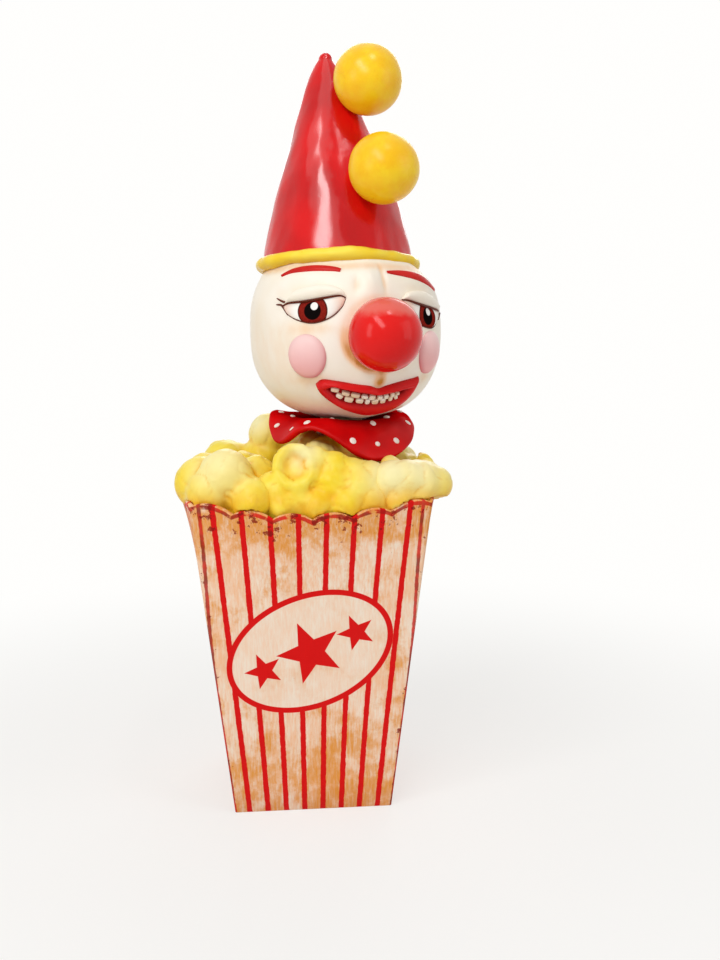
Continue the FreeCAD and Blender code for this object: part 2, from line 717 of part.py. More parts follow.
heap("popcorn_left", (-far, seam_x_left, -front_seam, rear_seam),
     [(-0.88, -0.12, 0.12, 0.22), (-0.85, 0.18, 0.06, 0.22), (-0.59, 0.03, 0.12, 0.22),
      (-0.50, -0.22, 0.06, 0.19), (-0.53, 0.24, 0.03, 0.19), (-1.01, 0.03, 0.00, 0.16)])
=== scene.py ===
# %% [markdown]
# # A jack in the box with a popcorn box
# A clown on a spring stands up out of an open, striped popcorn box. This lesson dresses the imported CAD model: the
# CAD pieces come in as a fixed frame, finer shapes are made over the plain ones, and each piece gets a painted and
# varnished finish. The shapes are worked out in millimetres, as the CAD part is, and become metres in one place.

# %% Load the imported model
import math
import random

import bmesh
import bpy
import numpy as np
from mathutils import Matrix, Quaternion, Vector, noise


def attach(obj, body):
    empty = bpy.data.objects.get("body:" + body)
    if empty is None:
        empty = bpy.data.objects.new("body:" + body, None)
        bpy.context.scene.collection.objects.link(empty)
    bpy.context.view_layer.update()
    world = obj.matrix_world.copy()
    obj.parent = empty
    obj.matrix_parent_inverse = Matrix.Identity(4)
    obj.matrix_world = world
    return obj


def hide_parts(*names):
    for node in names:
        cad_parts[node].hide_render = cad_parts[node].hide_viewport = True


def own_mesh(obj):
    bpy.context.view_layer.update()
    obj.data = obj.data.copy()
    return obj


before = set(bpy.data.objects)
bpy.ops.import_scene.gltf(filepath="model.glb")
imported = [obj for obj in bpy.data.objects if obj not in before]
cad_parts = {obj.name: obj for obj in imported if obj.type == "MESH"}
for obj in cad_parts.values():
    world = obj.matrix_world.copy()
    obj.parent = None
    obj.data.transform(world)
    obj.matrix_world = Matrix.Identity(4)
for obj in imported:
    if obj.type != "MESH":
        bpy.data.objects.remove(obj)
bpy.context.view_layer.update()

scene = bpy.context.scene
MM = 0.001

# %% [markdown]
# ## Camera, floor and light
# The camera stands where the photographer stood: a little above the rim and a hand's width to the left. Its lens
# and place could be found by eye, but the box's size is known, so they were worked out from its corners. The view
# transform is Standard, so that a colour renders about as it is written.

# %% Camera
scene.view_settings.view_transform = "Standard"
camera = bpy.data.objects.new("camera", bpy.data.cameras.new("camera"))
camera.data.sensor_width = 36.0
camera.data.lens = 39.0
stand_point = Vector((-0.02652, -0.64088, 0.28384))
aim_point = Vector((0.03336, 0.0, 0.19338))
camera_roll = math.radians(-0.3)
camera.location = stand_point
camera.rotation_mode = "QUATERNION"
looking = (aim_point - stand_point).to_track_quat("-Z", "Y")
camera.rotation_quaternion = looking @ Quaternion((0, 0, 1), camera_roll)
camera.data.clip_start = 0.01
scene.collection.objects.link(camera)
scene.camera = camera
print("camera", [round(v, 3) for v in camera.location])

# %% [markdown]
# A node tree is easier to read as a list of steps than as a drawing. This small helper adds a node, joins or sets
# its inputs, and hands back what the next step needs. Materials and Geometry Nodes both use it.

# %% Node helper


class Nodes:
    """Adds nodes to one tree and joins them."""

    def __init__(self, tree):
        self.tree = tree

    def add(self, kind, inputs=None, **settings):
        node = self.tree.nodes.new(kind)
        for name, value in settings.items():
            setattr(node, name, value)
        for name, value in (inputs or {}).items():
            self.put(node.inputs[name], value)
        return node

    def put(self, socket, value):
        if isinstance(value, bpy.types.NodeSocket):
            self.tree.links.new(value, socket)
        else:
            socket.default_value = value

    def math(self, operation, first, second=0.0, third=0.0):
        node = self.add("ShaderNodeMath", {0: first, 1: second, 2: third}, operation=operation)
        return node.outputs[0]

    def hypot(self, right, up):
        """Distance from the middle of a point that lies right and up of it."""
        squares = [self.math("POWER", leg, 2.0) for leg in (right, up)]
        return self.math("SQRT", self.math("ADD", *squares))

    def fade(self, value, start, end, low=0.0, high=1.0):
        """Smooth step of a value from start to end."""
        inputs = {"Value": value, "From Min": start, "From Max": end, "To Min": low, "To Max": high}
        return self.add("ShaderNodeMapRange", inputs, interpolation_type="SMOOTHSTEP").outputs["Result"]

    def mix(self, share, first, second):
        node = self.add("ShaderNodeMix", data_type="RGBA")
        by_id = {socket.identifier: socket for socket in node.inputs}
        self.put(by_id["Factor_Float"], share)
        self.put(by_id["A_Color"], first)
        self.put(by_id["B_Color"], second)
        return next(socket for socket in node.outputs if socket.identifier == "Result_Color")

    def place(self, stretch=(1, 1, 1)):
        """Object coordinates in millimetres, stretched."""
        coords = self.add("ShaderNodeTexCoord").outputs["Object"]
        scale = [1000.0 * s for s in stretch]
        return self.add("ShaderNodeMapping", {"Vector": coords, "Scale": scale}).outputs["Vector"]

    def height(self):
        """Height over the floor in millimetres."""
        return self.add("ShaderNodeSeparateXYZ", {0: self.place()}).outputs["Z"]

    def cloud(self, place, scale, detail=3.0, rough=0.55):
        """Noise from 0 to 1, with features of about 1 / scale millimetres."""
        inputs = {"Vector": place, "Scale": scale, "Detail": detail, "Roughness": rough}
        return self.add("ShaderNodeTexNoise", inputs).outputs[0]

    def tagged(self, name):
        """Number that a mesh carries at each point."""
        return self.add("ShaderNodeAttribute", attribute_name=name).outputs["Fac"]

    def group(self, tree, **inputs):
        """Outputs of a shared node group, with its inputs set by name."""
        node = self.add("ShaderNodeGroup", node_tree=tree)
        for name, value in inputs.items():
            self.put(node.inputs[name.replace("_", " ").capitalize()], value)
        return node.outputs


def rgb(red, green, blue):
    return (red, green, blue, 1.0)


# %% [markdown]
# The background has to be white without bleaching the figure. So the world is white for rays that come from the
# camera or off a shiny surface, and much dimmer for the light that falls on the pieces.

# %% World
WHITE = rgb(1.0, 0.995, 0.98)
AMBIENT = 0.40


def seen_rays(n):
    """1 for rays that come from the camera, a mirror or glass."""
    path = n.add("ShaderNodeLightPath").outputs
    seen = n.math("MAXIMUM", path["Is Camera Ray"], path["Is Glossy Ray"])
    return n.math("MAXIMUM", seen, path["Is Transmission Ray"])


world = bpy.data.worlds.new("studio")
scene.world = world
world.use_nodes = True
n = Nodes(world.node_tree)
n.tree.nodes.clear()
strength = n.fade(seen_rays(n), 0.0, 1.0, AMBIENT, 1.0)
sky = n.add("ShaderNodeBackground", {"Color": WHITE, "Strength": strength})
n.add("ShaderNodeOutputWorld", {"Surface": sky.outputs[0]})
print("world", world.name, "with ambient light", AMBIENT)

# %% [markdown]
# A plain white floor would look grey under soft light. This one is matt near the box, where it keeps the shadow, and
# glows white farther off, so that no horizon shows.

# %% Floor
FLOOR_RADIUS, SHADOW_RADIUS, WHITE_RADIUS = 4.0, 0.15, 0.6
bpy.ops.mesh.primitive_circle_add(vertices=96, radius=FLOOR_RADIUS, fill_type="NGON")
floor = bpy.context.object
floor.name = "floor"
floor_paint = bpy.data.materials.new("pale floor")
floor_paint.use_nodes = True
n = Nodes(floor_paint.node_tree)
n.tree.nodes.clear()
matt = n.add("ShaderNodeBsdfDiffuse", {"Color": rgb(0.86, 0.85, 0.83)})
glow = n.add("ShaderNodeEmission", {"Color": WHITE, "Strength": 1.0})
ground = n.add("ShaderNodeTexCoord").outputs["Object"]
away = n.add("ShaderNodeVectorMath", {0: ground}, operation="LENGTH").outputs["Value"]
share = n.math("MULTIPLY", seen_rays(n), n.fade(away, SHADOW_RADIUS, WHITE_RADIUS, 0.62, 1.0))
both = n.add("ShaderNodeMixShader", {0: share, 1: matt.outputs[0], 2: glow.outputs[0]})
n.add("ShaderNodeOutputMaterial", {"Surface": both.outputs[0]})
floor.data.materials.append(floor_paint)
print("floor of radius", FLOOR_RADIUS, "m")

# %% [markdown]
# The light is soft studio light. A long strip lamp at the upper left draws the long highlight down the hat, and is
# rolled so that the highlight leans with the cone. A small lamp above gives the nose and the balls a second glint.
# Weak, broad lamps fill the sides and the back. One large lamp would be simpler, but varnish would then look dull.

# %% Lamps


def lamp(name, place, aim, size, power, roll=0.0):
    """Soft box that points at a spot, rolled about that line."""
    light = bpy.data.lights.new(name, "AREA")
    light.shape = "RECTANGLE"
    light.size, light.size_y = size
    light.energy = power
    obj = bpy.data.objects.new(name, light)
    obj.location = place
    obj.rotation_mode = "QUATERNION"
    pointing = (Vector(aim) - Vector(place)).to_track_quat("-Z", "Y")
    obj.rotation_quaternion = pointing @ Quaternion((0, 0, 1), math.radians(roll))
    scene.collection.objects.link(obj)


lamp("key lamp", (-0.34, -0.70, 0.90), (0, 0, 0.34), (0.22, 0.80), 4.6, roll=42)
lamp("second lamp", (0.16, -0.36, 1.10), (0.02, 0, 0.30), (0.14, 0.14), 0.8)
lamp("window", (-0.85, -0.60, 0.50), (0, 0, 0.25), (0.30, 0.60), 1.8)
lamp("right fill", (0.95, -0.45, 0.50), (0, 0, 0.25), (0.60, 0.80), 1.6)
lamp("back fill", (0.20, 1.00, 0.80), (0, 0, 0.25), (0.80, 0.60), 3.6)

# %% [markdown]
# ## Helpers for the pieces
# Most pieces are skins over rings of points. They could be modelled by hand from simple shapes, but a skin over rings
# follows the same rules as the CAD part, point by point, and comes out closed.

# %% Skins over rings of points


def to_mesh(name, points, faces):
    """Mesh from points in millimetres, with smooth faces that point outwards."""
    mesh = bpy.data.meshes.new(name)
    mesh.from_pydata((np.asarray(points, float) * MM).tolist(), [], faces)
    work = bmesh.new()
    work.from_mesh(mesh)
    bmesh.ops.recalc_face_normals(work, faces=work.faces)
    work.to_mesh(mesh)
    work.free()
    mesh.shade_smooth()
    return mesh


def quads(rings, around, closed=True):
    """Quads between rings of points, each ring closed round or open."""
    last = around if closed else around - 1
    faces = []
    for k in range(rings - 1):
        for i in range(last):
            j = (i + 1) % around
            faces.append((k * around + i, k * around + j, (k + 1) * around + j, (k + 1) * around + i))
    return faces


def closed_skin(name, rings):
    """Skin over closed rings, with a point in the middle of each end."""
    rings = np.asarray(rings, float)
    count, around = rings.shape[:2]
    points = np.vstack([rings.reshape(-1, 3), rings[0].mean(0), rings[-1].mean(0)])
    faces = quads(count, around)
    top = (count - 1) * around
    for i in range(around):
        j = (i + 1) % around
        faces.append((count * around, j, i))
        faces.append((count * around + 1, top + i, top + j))
    return to_mesh(name, points, faces)


def ring_skin(name, rings):
    """Skin over closed rings, the last of which meets the first."""
    rings = np.asarray(rings, float)
    count, around = rings.shape[:2]
    faces = [tuple(v % (count * around) for v in face) for face in quads(count + 1, around)]
    return to_mesh(name, rings.reshape(-1, 3), faces)


# %% [markdown]
# A made mesh is then read and pushed about as an array of points, which is quicker than going point by point. A tag is
# a number at each point, such as how hollow a place is. It stays with the surface, so paint that reads it does too.

# %% Points, tags and unevenness


def tag(mesh, name, values):
    """One number for each point of a mesh, which its material can read."""
    layer = mesh.attributes.new(name, "FLOAT", "POINT")
    layer.data.foreach_set("value", np.asarray(values, np.float32).ravel())


def points_of(mesh):
    flat = np.zeros(len(mesh.vertices) * 3)
    mesh.vertices.foreach_get("co", flat)
    return flat.reshape(-1, 3) / MM


def normals_of(mesh):
    flat = np.zeros(len(mesh.vertices) * 3)
    mesh.vertices.foreach_get("normal", flat)
    return flat.reshape(-1, 3)


def move_points(mesh, points):
    mesh.vertices.foreach_set("co", (np.asarray(points) * MM).ravel())
    mesh.update()


def bumps(points, size, height, seed=0.0):
    """Gentle hand-made unevenness: height times noise with features of a size, at each point."""
    shift = Vector((seed * 3.1, seed * 1.7, seed * 2.3))
    return np.array([height * noise.noise(Vector(p) / size + shift) for p in points])


# %% [markdown]
# Each finished piece rides on a CAD body and stands for one or more CAD nodes, which it hides.

# %% Finished pieces


def finished(name, mesh, material, body, slot, *nodes):
    """The piece itself: it rides on a body and stands for CAD nodes."""
    obj = bpy.data.objects.new(name, mesh)
    scene.collection.objects.link(obj)
    mesh.materials.clear()
    mesh.materials.append(material)
    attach(obj, body)
    if nodes:
        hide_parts(*nodes)
    return obj


# %% [markdown]
# ## Finishes that several materials share
# The whole figure is paper pulp and board, painted by hand and varnished. Three effects come back on every piece:
# a varnish that lies unevenly, a brown wash in blotches, and paint that has chipped off in specks. Each is a node group
# that gives out masks and heights, so that every material can use it at its own scale. The darker paint in the hollows
# is painted shade, which the varnish helper takes from a tag on the mesh.

# %% Shared node groups


def new_group(name, inputs, outputs):
    tree = bpy.data.node_groups.new(name, "ShaderNodeTree")
    for label, value in inputs.items():
        socket = tree.interface.new_socket(label, in_out="INPUT", socket_type="NodeSocketFloat")
        socket.default_value = value
    for label in outputs:
        tree.interface.new_socket(label, in_out="OUTPUT", socket_type="NodeSocketFloat")
    n = Nodes(tree)
    return tree, n, n.add("NodeGroupInput").outputs, n.add("NodeGroupOutput").inputs


varnish_skin, n, have, give = new_group("Varnish skin", {"Grain": 0.2}, ("Height", "Patches"))
fine = n.cloud(n.place(), have["Grain"], 4.0)
broad = n.cloud(n.place(), n.math("MULTIPLY", have["Grain"], 0.22), 2.0)
n.put(give["Height"], n.math("MULTIPLY_ADD", broad, 1.6, n.math("MULTIPLY", fine, 0.5)))
n.put(give["Patches"], n.fade(broad, 0.3, 0.7))

brown_wash, n, have, give = new_group("Brown wash", {"Scale": 0.05, "Amount": 0.5}, ("Mask",))
stain = n.cloud(n.place(), have["Scale"], 6.0, 0.65)
edge = n.math("SUBTRACT", 0.78, n.math("MULTIPLY", have["Amount"], 0.45))
n.put(give["Mask"], n.fade(n.math("SUBTRACT", stain, edge), -0.06, 0.14))

worn_specks, n, have, give = new_group("Worn specks", {"Scale": 0.4, "Amount": 0.3}, ("Mask",))
speck = n.cloud(n.place(), have["Scale"], 5.0, 0.7)
edge = n.math("SUBTRACT", 0.76, n.math("MULTIPLY", have["Amount"], 0.3))
n.put(give["Mask"], n.fade(n.math("SUBTRACT", speck, edge), 0.0, 0.03))
print("groups", [g.name for g in bpy.data.node_groups])

# %% [markdown]
# Every painted finish starts from the same few nodes: a shader whose roughness changes in patches, on a surface that is
# a little uneven. The first helper makes those, and the caller adds the colour. The second gives the usual varnish,
# with painted shade that darkens it in its hollows. The third lays a clear coat over a finish, and the caller says
# where it lies.

# %% Painted finishes


def new_finish(name, gloss=(0.22, 0.34), shine=0.25, grain=0.2, dents=0.25):
    """Painted and varnished finish: returns the material, its nodes and its shader, without a colour."""
    material = bpy.data.materials.new(name)
    material.use_nodes = True
    n = Nodes(material.node_tree)
    n.tree.nodes.clear()
    shader = n.add("ShaderNodeBsdfPrincipled")
    n.add("ShaderNodeOutputMaterial", {"Surface": shader.outputs[0]})
    skin = n.group(varnish_skin, grain=grain)
    n.put(shader.inputs["Roughness"], n.fade(skin["Patches"], 0.0, 1.0, gloss[0], gloss[1]))
    bump = n.add("ShaderNodeBump", {"Height": skin["Height"], "Strength": dents, "Distance": 0.001})
    n.put(shader.inputs["Normal"], bump.outputs[0])
    shader.inputs["Specular IOR Level"].default_value = shine
    return material, n, shader, skin


def varnished(name, deep, bright, shade, grain=0.2, dents=0.25, shine=0.12, gloss=(0.2, 0.32)):
    """Varnished paint that is a little uneven, with painted shade in its hollows, read from the hollow tag."""
    material, n, shader, skin = new_finish(name, gloss, shine, grain, dents)
    body = n.mix(skin["Patches"], deep, bright)
    # Painted shade: where the hollow tag is high, the paint darkens towards the shade colour.
    hollow = n.math("MULTIPLY", n.tagged("hollow"), 0.85)
    n.put(shader.inputs["Base Color"], n.mix(hollow, body, shade))
    return material


def coated(material, rough):
    """Nodes of a finish and the weight of its clear coat, for the caller to put a mask on."""
    n = Nodes(material.node_tree)
    shader = n.tree.nodes["Principled BSDF"]
    shader.inputs["Coat Roughness"].default_value = rough
    return n, shader.inputs["Coat Weight"]


# %% [markdown]
# ## Striped box
# The box is four thin boards, which lean out and bow between their corners, and its rim is cut in scallops. A tapered
# cube could be bent to look like it, but its paint would follow the room. So each board is a grid of columns and rows
# by the CAD's rule, with a rounded rim and softened corners. Each point knows where it lies across the board and how
# far below the rim, and the stripes, the rim line and the wear follow that.

# %% Shape of a wall board
BOX_HEIGHT, BASE_HALF, RIM_HALF = 190.0, 47.0, 68.0
WALL, RIM_BOW, RIM_DIP, SCALLOPS, SCALLOP_RISE = 3.0, 9.0, 8.0, 6, 3.5


def half_width(z):
    return BASE_HALF + (RIM_HALF - BASE_HALF) * z / BOX_HEIGHT


def bow(z):
    return RIM_BOW * (np.maximum(z, 0.0) / BOX_HEIGHT) ** 5


def rim_height(across):
    """Height of the scalloped edge at a place across the board, from -1 to 1."""
    cell = np.clip((np.asarray(across, float) + 1) / 2 * SCALLOPS, 0, SCALLOPS - 1e-6)
    k = np.floor(cell)
    ends = [BOX_HEIGHT - RIM_DIP * (1 - (2 * (k + e) / SCALLOPS - 1) ** 2) for e in (0, 1)]
    t = cell - k
    return ends[0] * (1 - t) + ends[1] * t + SCALLOP_RISE * 4 * t * (1 - t)


print("rim at a corner and in the middle", [round(float(rim_height(u)), 1) for u in (-1, 0)])

# %% Mesh of a wall board
OUTSIDE_SHARES = (0.002, 0.1, 0.2, 0.3, 0.4, 0.5, 0.58, 0.66, 0.73, 0.79, 0.85, 0.9, 0.94, 0.97)
INSIDE_SHARES = (0.94, 0.85, 0.73, 0.58, 0.3, 0.002)


def board_rows(top):
    """(depth, height) round the section of a board: up the outside, over the rim and down the inside."""
    outside = [(0.0, top * s) for s in OUTSIDE_SHARES]
    rim = [(0.0, top - 1.1), (0.2, top - 0.5), (0.6, top - 0.15), (1.1, top), (1.9, top), (2.4, top - 0.15),
           (2.8, top - 0.5), (WALL, top - 1.1)]
    inside = [(WALL, top * s) for s in INSIDE_SHARES]
    return outside + rim + inside + [(WALL - 0.4, 0.0), (0.4, 0.0)]


def board_mesh(name, turns):
    """One board, turned by quarters from the front, with its tags."""
    per_scallop = 10
    columns = [2 * k / (SCALLOPS * per_scallop) - 1 for k in range(1, SCALLOPS * per_scallop)]
    columns = [(-1.0, 0.7), (-0.996, 0.2), (-0.99, 0.0)] + [(u, 0.0) for u in columns]
    columns += [(0.99, 0.0), (0.996, 0.2), (1.0, 0.7)]
    points, across, below, depth = [], [], [], []
    for u, soften in columns:
        top = float(rim_height(u))
        for d, z in board_rows(top):
            d = max(d, soften)
            half = half_width(z)
            points.append((u * (half - d), -(half - d) - bow(z) * (1 - u * u), z))
            across.append(u)
            below.append(top - z)
            depth.append(d)
    around = len(points) // len(columns)
    faces = quads(len(columns), around)
    faces.append(tuple(range(around)))
    faces.append(tuple(range(len(points) - around, len(points))))
    turn = np.array(Matrix.Rotation(math.pi / 2 * turns, 3, "Z"))
    mesh = to_mesh(name, np.asarray(points) @ turn.T, faces)
    for label, values in (("across", across), ("below", below), ("depth", depth)):
        tag(mesh, label, values)
    return mesh


# %% [markdown]
# The paint is a cream ground brushed up and down, eight red stripes that fan out with the board, a thin worn line
# along the scallops and down each corner, a brown wash and worn specks. On the front there is a slanting oval sign,
# which carries three plain stars. A star could be cut out of a mesh, but as a mask it wears with the rest of the paint.
# It is drawn from its polar equation: the straight line from a point of the star to the next inner corner, folded
# round five times.

# %% Star for the sign
star_shape, n, have, give = new_group("Painted star", {"Right": 0.0, "Up": 0.0, "Radius": 10.0}, ("Mask",))
star_points, inner_share = 5, 0.42
half_angle = math.pi / star_points
turned = n.math("ARCTAN2", have["Right"], have["Up"])
folded = n.math("PINGPONG", turned, half_angle)
from_middle = n.hypot(have["Right"], have["Up"])
slope = n.math("MULTIPLY", n.math("SINE", n.math("SUBTRACT", half_angle, folded)), inner_share)
edge = n.math("DIVIDE", inner_share * math.sin(half_angle), n.math("ADD", n.math("SINE", folded), slope))
inside = n.math("SUBTRACT", n.math("MULTIPLY", edge, have["Radius"]), from_middle)
n.put(give["Mask"], n.fade(inside, -0.25, 0.25))
print("star with", star_points, "points")

# %% [markdown]
# The sign is an oval that slants up to the right. How far a point lies from its outline follows from the ellipse's own
# equation, divided by how steeply that equation rises there, so that the red border is equally wide all round.

# %% Oval sign
SIGN_MIDDLE, SIGN_HALF, SIGN_TILT, SIGN_LINE = (-1.6, 101.8), (50.2, 35.5), math.radians(22.6), 3.4
SIGN_STARS = ((-29.0, 0.0, 11.5), (0.0, -0.5, 20.0), (29.0, 0.0, 11.5))


def highest(n, *masks):
    found = masks[0]
    for mask in masks[1:]:
        found = n.math("MAXIMUM", found, mask)
    return found


def sign_masks(n, side, height):
    """Outline, inside and stars of the oval sign."""
    right = n.math("SUBTRACT", side, SIGN_MIDDLE[0])
    rise = n.math("SUBTRACT", height, SIGN_MIDDLE[1])
    cos, sin = math.cos(SIGN_TILT), math.sin(SIGN_TILT)
    along = n.math("ADD", n.math("MULTIPLY", right, cos), n.math("MULTIPLY", rise, sin))
    up = n.math("SUBTRACT", n.math("MULTIPLY", rise, cos), n.math("MULTIPLY", right, sin))
    squares = [n.math("POWER", n.math("DIVIDE", way, half), 2.0) for way, half in zip((along, up), SIGN_HALF)]
    slopes = [n.math("DIVIDE", square, half ** 2) for square, half in zip(squares, SIGN_HALF)]
    ratio = n.math("SQRT", n.math("ADD", *squares))
    steep = n.math("SQRT", n.math("ADD", n.math("ADD", *slopes), 1e-9))
    out = n.math("DIVIDE", n.math("MULTIPLY", n.math("SUBTRACT", ratio, 1.0), ratio), steep)
    off_line = n.math("ABSOLUTE", n.math("ADD", out, SIGN_LINE / 2))
    line = n.fade(off_line, SIGN_LINE / 2 + 0.2, SIGN_LINE / 2 - 0.2)
    stars = []
    for x, y, radius in SIGN_STARS:
        star = n.group(star_shape, right=n.math("SUBTRACT", along, x), up=n.math("SUBTRACT", up, y), radius=radius)
        stars.append(star["Mask"])
    return line, n.fade(out, -0.6, -1.0), highest(n, *stars)


print("sign", SIGN_HALF, "mm from its middle, with", len(SIGN_STARS), "stars")

# %% [markdown]
# The red lines are painted freehand, so each is a distance in millimetres with a little wobble: to the nearest stripe,
# to the corner and to the rim. Ground and wear are noise that is stretched up the board, as a brush leaves it. The
# wash gathers at the foot and under the rim, and paint chips off along the edges.

# %% Lines, ground and wear of the box
STRIPE_PITCH, STRIPE_HALF = 0.2329, 1.6
RED_PAINT, RED_STREAK, RED_WORN = rgb(0.76, 0.004, 0.004), rgb(0.58, 0.004, 0.004), rgb(0.26, 0.006, 0.004)
CREAM_LIGHT, CREAM_DARK, BROWN = rgb(0.94, 0.80, 0.66), rgb(0.92, 0.54, 0.32), rgb(0.78, 0.29, 0.020)
BARE_BOARD = rgb(0.50, 0.30, 0.14)


def red_lines(n, across, below, height, half):
    """Masks of the stripes, and of the thin lines along the corners and the rim."""
    away = n.math("ABSOLUTE", across)
    wobble = n.math("MULTIPLY", n.math("SUBTRACT", n.cloud(n.place(), 0.25, 4.0), 0.5), 1.1)
    cell = n.math("FRACT", n.math("MULTIPLY_ADD", across, 1 / STRIPE_PITCH, 50.0))
    off = n.math("MULTIPLY", n.math("ABSOLUTE", n.math("SUBTRACT", cell, 0.5)), STRIPE_PITCH)
    off = n.math("MULTIPLY", off, half)
    stripe = n.fade(n.math("ADD", off, wobble), STRIPE_HALF + 0.22, STRIPE_HALF - 0.22)
    stripe = n.math("MULTIPLY", stripe, n.fade(away, 0.93, 0.91))
    lean = n.fade(height, 80.0, 190.0, 1.0, 0.925)
    corner_off = n.math("ABSOLUTE", n.math("MULTIPLY", n.math("SUBTRACT", away, lean), half))
    corner = n.fade(n.math("ADD", corner_off, wobble), 1.3, 0.8)
    rim_off = n.math("ABSOLUTE", n.math("SUBTRACT", below, 2.0))
    broken = n.fade(n.cloud(n.place(), 0.12, 4.0), 0.34, 0.46)
    rim = n.math("MULTIPLY", n.fade(n.math("ADD", rim_off, wobble), 1.5, 0.9), broken)
    return stripe, highest(n, corner, rim)


def brushed_ground(n):
    """Streaks of the brush, and the cream that they give."""
    streak = n.cloud(n.place((0.9, 0.9, 0.035)), 1.0, 4.0, 0.65)
    mottle = n.cloud(n.place((1, 1, 0.6)), 0.05, 4.0)
    uneven = n.math("MULTIPLY_ADD", streak, 0.7, n.math("MULTIPLY", mottle, 0.5))
    return streak, n.mix(n.fade(uneven, 0.40, 0.76), CREAM_LIGHT, CREAM_DARK)


def box_wear(n, across, below, height, streak):
    """Masks of the brown wash, of worn edges and of fine specks."""
    foot = n.fade(height, 95.0, 8.0, 0.0, 0.36)
    head = n.fade(below, 36.0, 4.0, 0.0, 0.5)
    wash = n.group(brown_wash, scale=0.045, amount=n.math("ADD", n.math("ADD", foot, head), 0.46))["Mask"]
    wash = n.math("MULTIPLY", wash, n.fade(streak, 0.2, 0.62, 0.45, 1.0))
    bristle = n.fade(n.cloud(n.place((2.4, 2.4, 0.06)), 1.0, 3.0, 0.7), 0.54, 0.68)
    wash = n.math("MAXIMUM", wash, n.math("MULTIPLY", bristle, n.math("MULTIPLY_ADD", wash, 0.55, 0.20)))
    at_rim = n.fade(below, 30.0, 8.0, 0.0, 0.66)
    at_corner = n.fade(n.math("ABSOLUTE", across), 0.86, 0.99, 0.0, 0.52)
    specks = n.group(worn_specks, scale=0.17, amount=n.math("MAXIMUM", at_rim, at_corner))["Mask"]
    return wash, specks, n.group(worn_specks, scale=0.7, amount=0.16)["Mask"]


# %% [markdown]
# The paint is built up as on the real box: ground, wash and specks first, then the stripes and the sign, the thin dark
# lines, and the worn edges on top. Only the sign tells the front board from the others, so one helper makes both.

# %% Striped boards


def striped_board(name, sign):
    material, n, shader, skin = new_finish(name, (0.4, 0.55), 0.12, 0.5, 0.22)
    across, below, height = n.tagged("across"), n.tagged("below"), n.height()
    half = n.math("MULTIPLY_ADD", height, (RIM_HALF - BASE_HALF) / BOX_HEIGHT, BASE_HALF)
    red, thin_lines = red_lines(n, across, below, height, half)
    streak, ground = brushed_ground(n)
    wash, specks, fine_specks = box_wear(n, across, below, height, streak)
    if sign:
        line, within, stars = sign_masks(n, n.math("MULTIPLY", across, half), height)
        red = highest(n, n.math("MULTIPLY", red, n.math("SUBTRACT", 1.0, within)), line, stars)
        ground = n.mix(n.math("MULTIPLY", within, 0.5), ground, CREAM_LIGHT)
        wash = n.math("MULTIPLY", wash, n.math("MULTIPLY_ADD", within, -0.6, 1.0))
    ground = n.mix(n.math("MULTIPLY", wash, 0.86), ground, BROWN)
    ground = n.mix(n.math("MULTIPLY", fine_specks, 0.6), ground, RED_WORN)
    chipped = n.math("MULTIPLY", red, n.math("MULTIPLY_ADD", fine_specks, -0.55, 1.0))
    paint = n.mix(chipped, ground, n.mix(n.math("MULTIPLY", streak, 0.5), RED_PAINT, RED_STREAK))
    dark_red = n.mix(skin["Patches"], RED_WORN, RED_PAINT)
    paint = n.mix(n.math("MULTIPLY", thin_lines, 0.9), paint, dark_red)
    paint = n.mix(n.math("MULTIPLY", specks, 0.88), paint, RED_WORN)
    bare = n.fade(n.tagged("depth"), 2.2, 2.7)
    n.put(shader.inputs["Base Color"], n.mix(bare, paint, BARE_BOARD))
    return material


sign_board = striped_board("striped board with sign", True)
plain_board = striped_board("striped board", False)
for turns, side in enumerate(("front", "right", "back", "left")):
    paint = sign_board if side == "front" else plain_board
    finished(side + "_board", board_mesh(side + "_board", turns), paint, "box", "striped_board", side + "_panel")

# %% [markdown]
# ## Popcorn
# Popcorn is a heap of puffs that have grown into each other. Its paint has a painted highlight, paler, on the tops of
# some puffs, and painted shade, a deeper yellow, in the hollows and low down. The paint reads tags for what changes
# from puff to puff: how hollow a place is, for the painted shade, how pale it is, for the painted highlight on the
# heaps and a random paler tone on the figure's ring, and where a scrap of dark hull sticks.

# %% Popcorn paint
popcorn_paint, n, shader, skin = new_finish("popcorn", (0.28, 0.42), 0.2, 0.2, 0.2)
tint = n.cloud(n.place(), 0.06, 3.0)
body = n.mix(n.fade(tint, 0.35, 0.7), rgb(0.93, 0.67, 0.020), rgb(0.94, 0.78, 0.11))
# Painted highlight: the pale tag lightens the tops of some puffs; on the figure's ring it is a random paler tone.
body = n.mix(n.tagged("pale"), body, rgb(0.95, 0.88, 0.50))
uneven = n.fade(n.cloud(n.place(), 0.05, 3.0), 0.35, 0.6, 0.15, 0.75)
# Painted shade: deeper yellow and orange low down in the box, below about 203 mm.
low = n.math("MULTIPLY", n.fade(n.height(), 203.0, 189.0), uneven)
body = n.mix(low, body, rgb(0.88, 0.46, 0.012))
# Painted shade: deeper yellow where the hollow tag says a place is hollow.
body = n.mix(n.math("MULTIPLY", n.tagged("hollow"), 0.9), body, rgb(0.84, 0.42, 0.008))
stain = n.group(brown_wash, scale=0.05, amount=0.30)["Mask"]
body = n.mix(n.math("MULTIPLY", stain, 0.45), body, rgb(0.80, 0.40, 0.015))
hull = n.math("MULTIPLY", n.tagged("hull"), 0.95)
n.put(shader.inputs["Base Color"], n.mix(hull, body, rgb(0.26, 0.012, 0.006)))
print("popcorn paint", len(n.tree.nodes), "nodes")
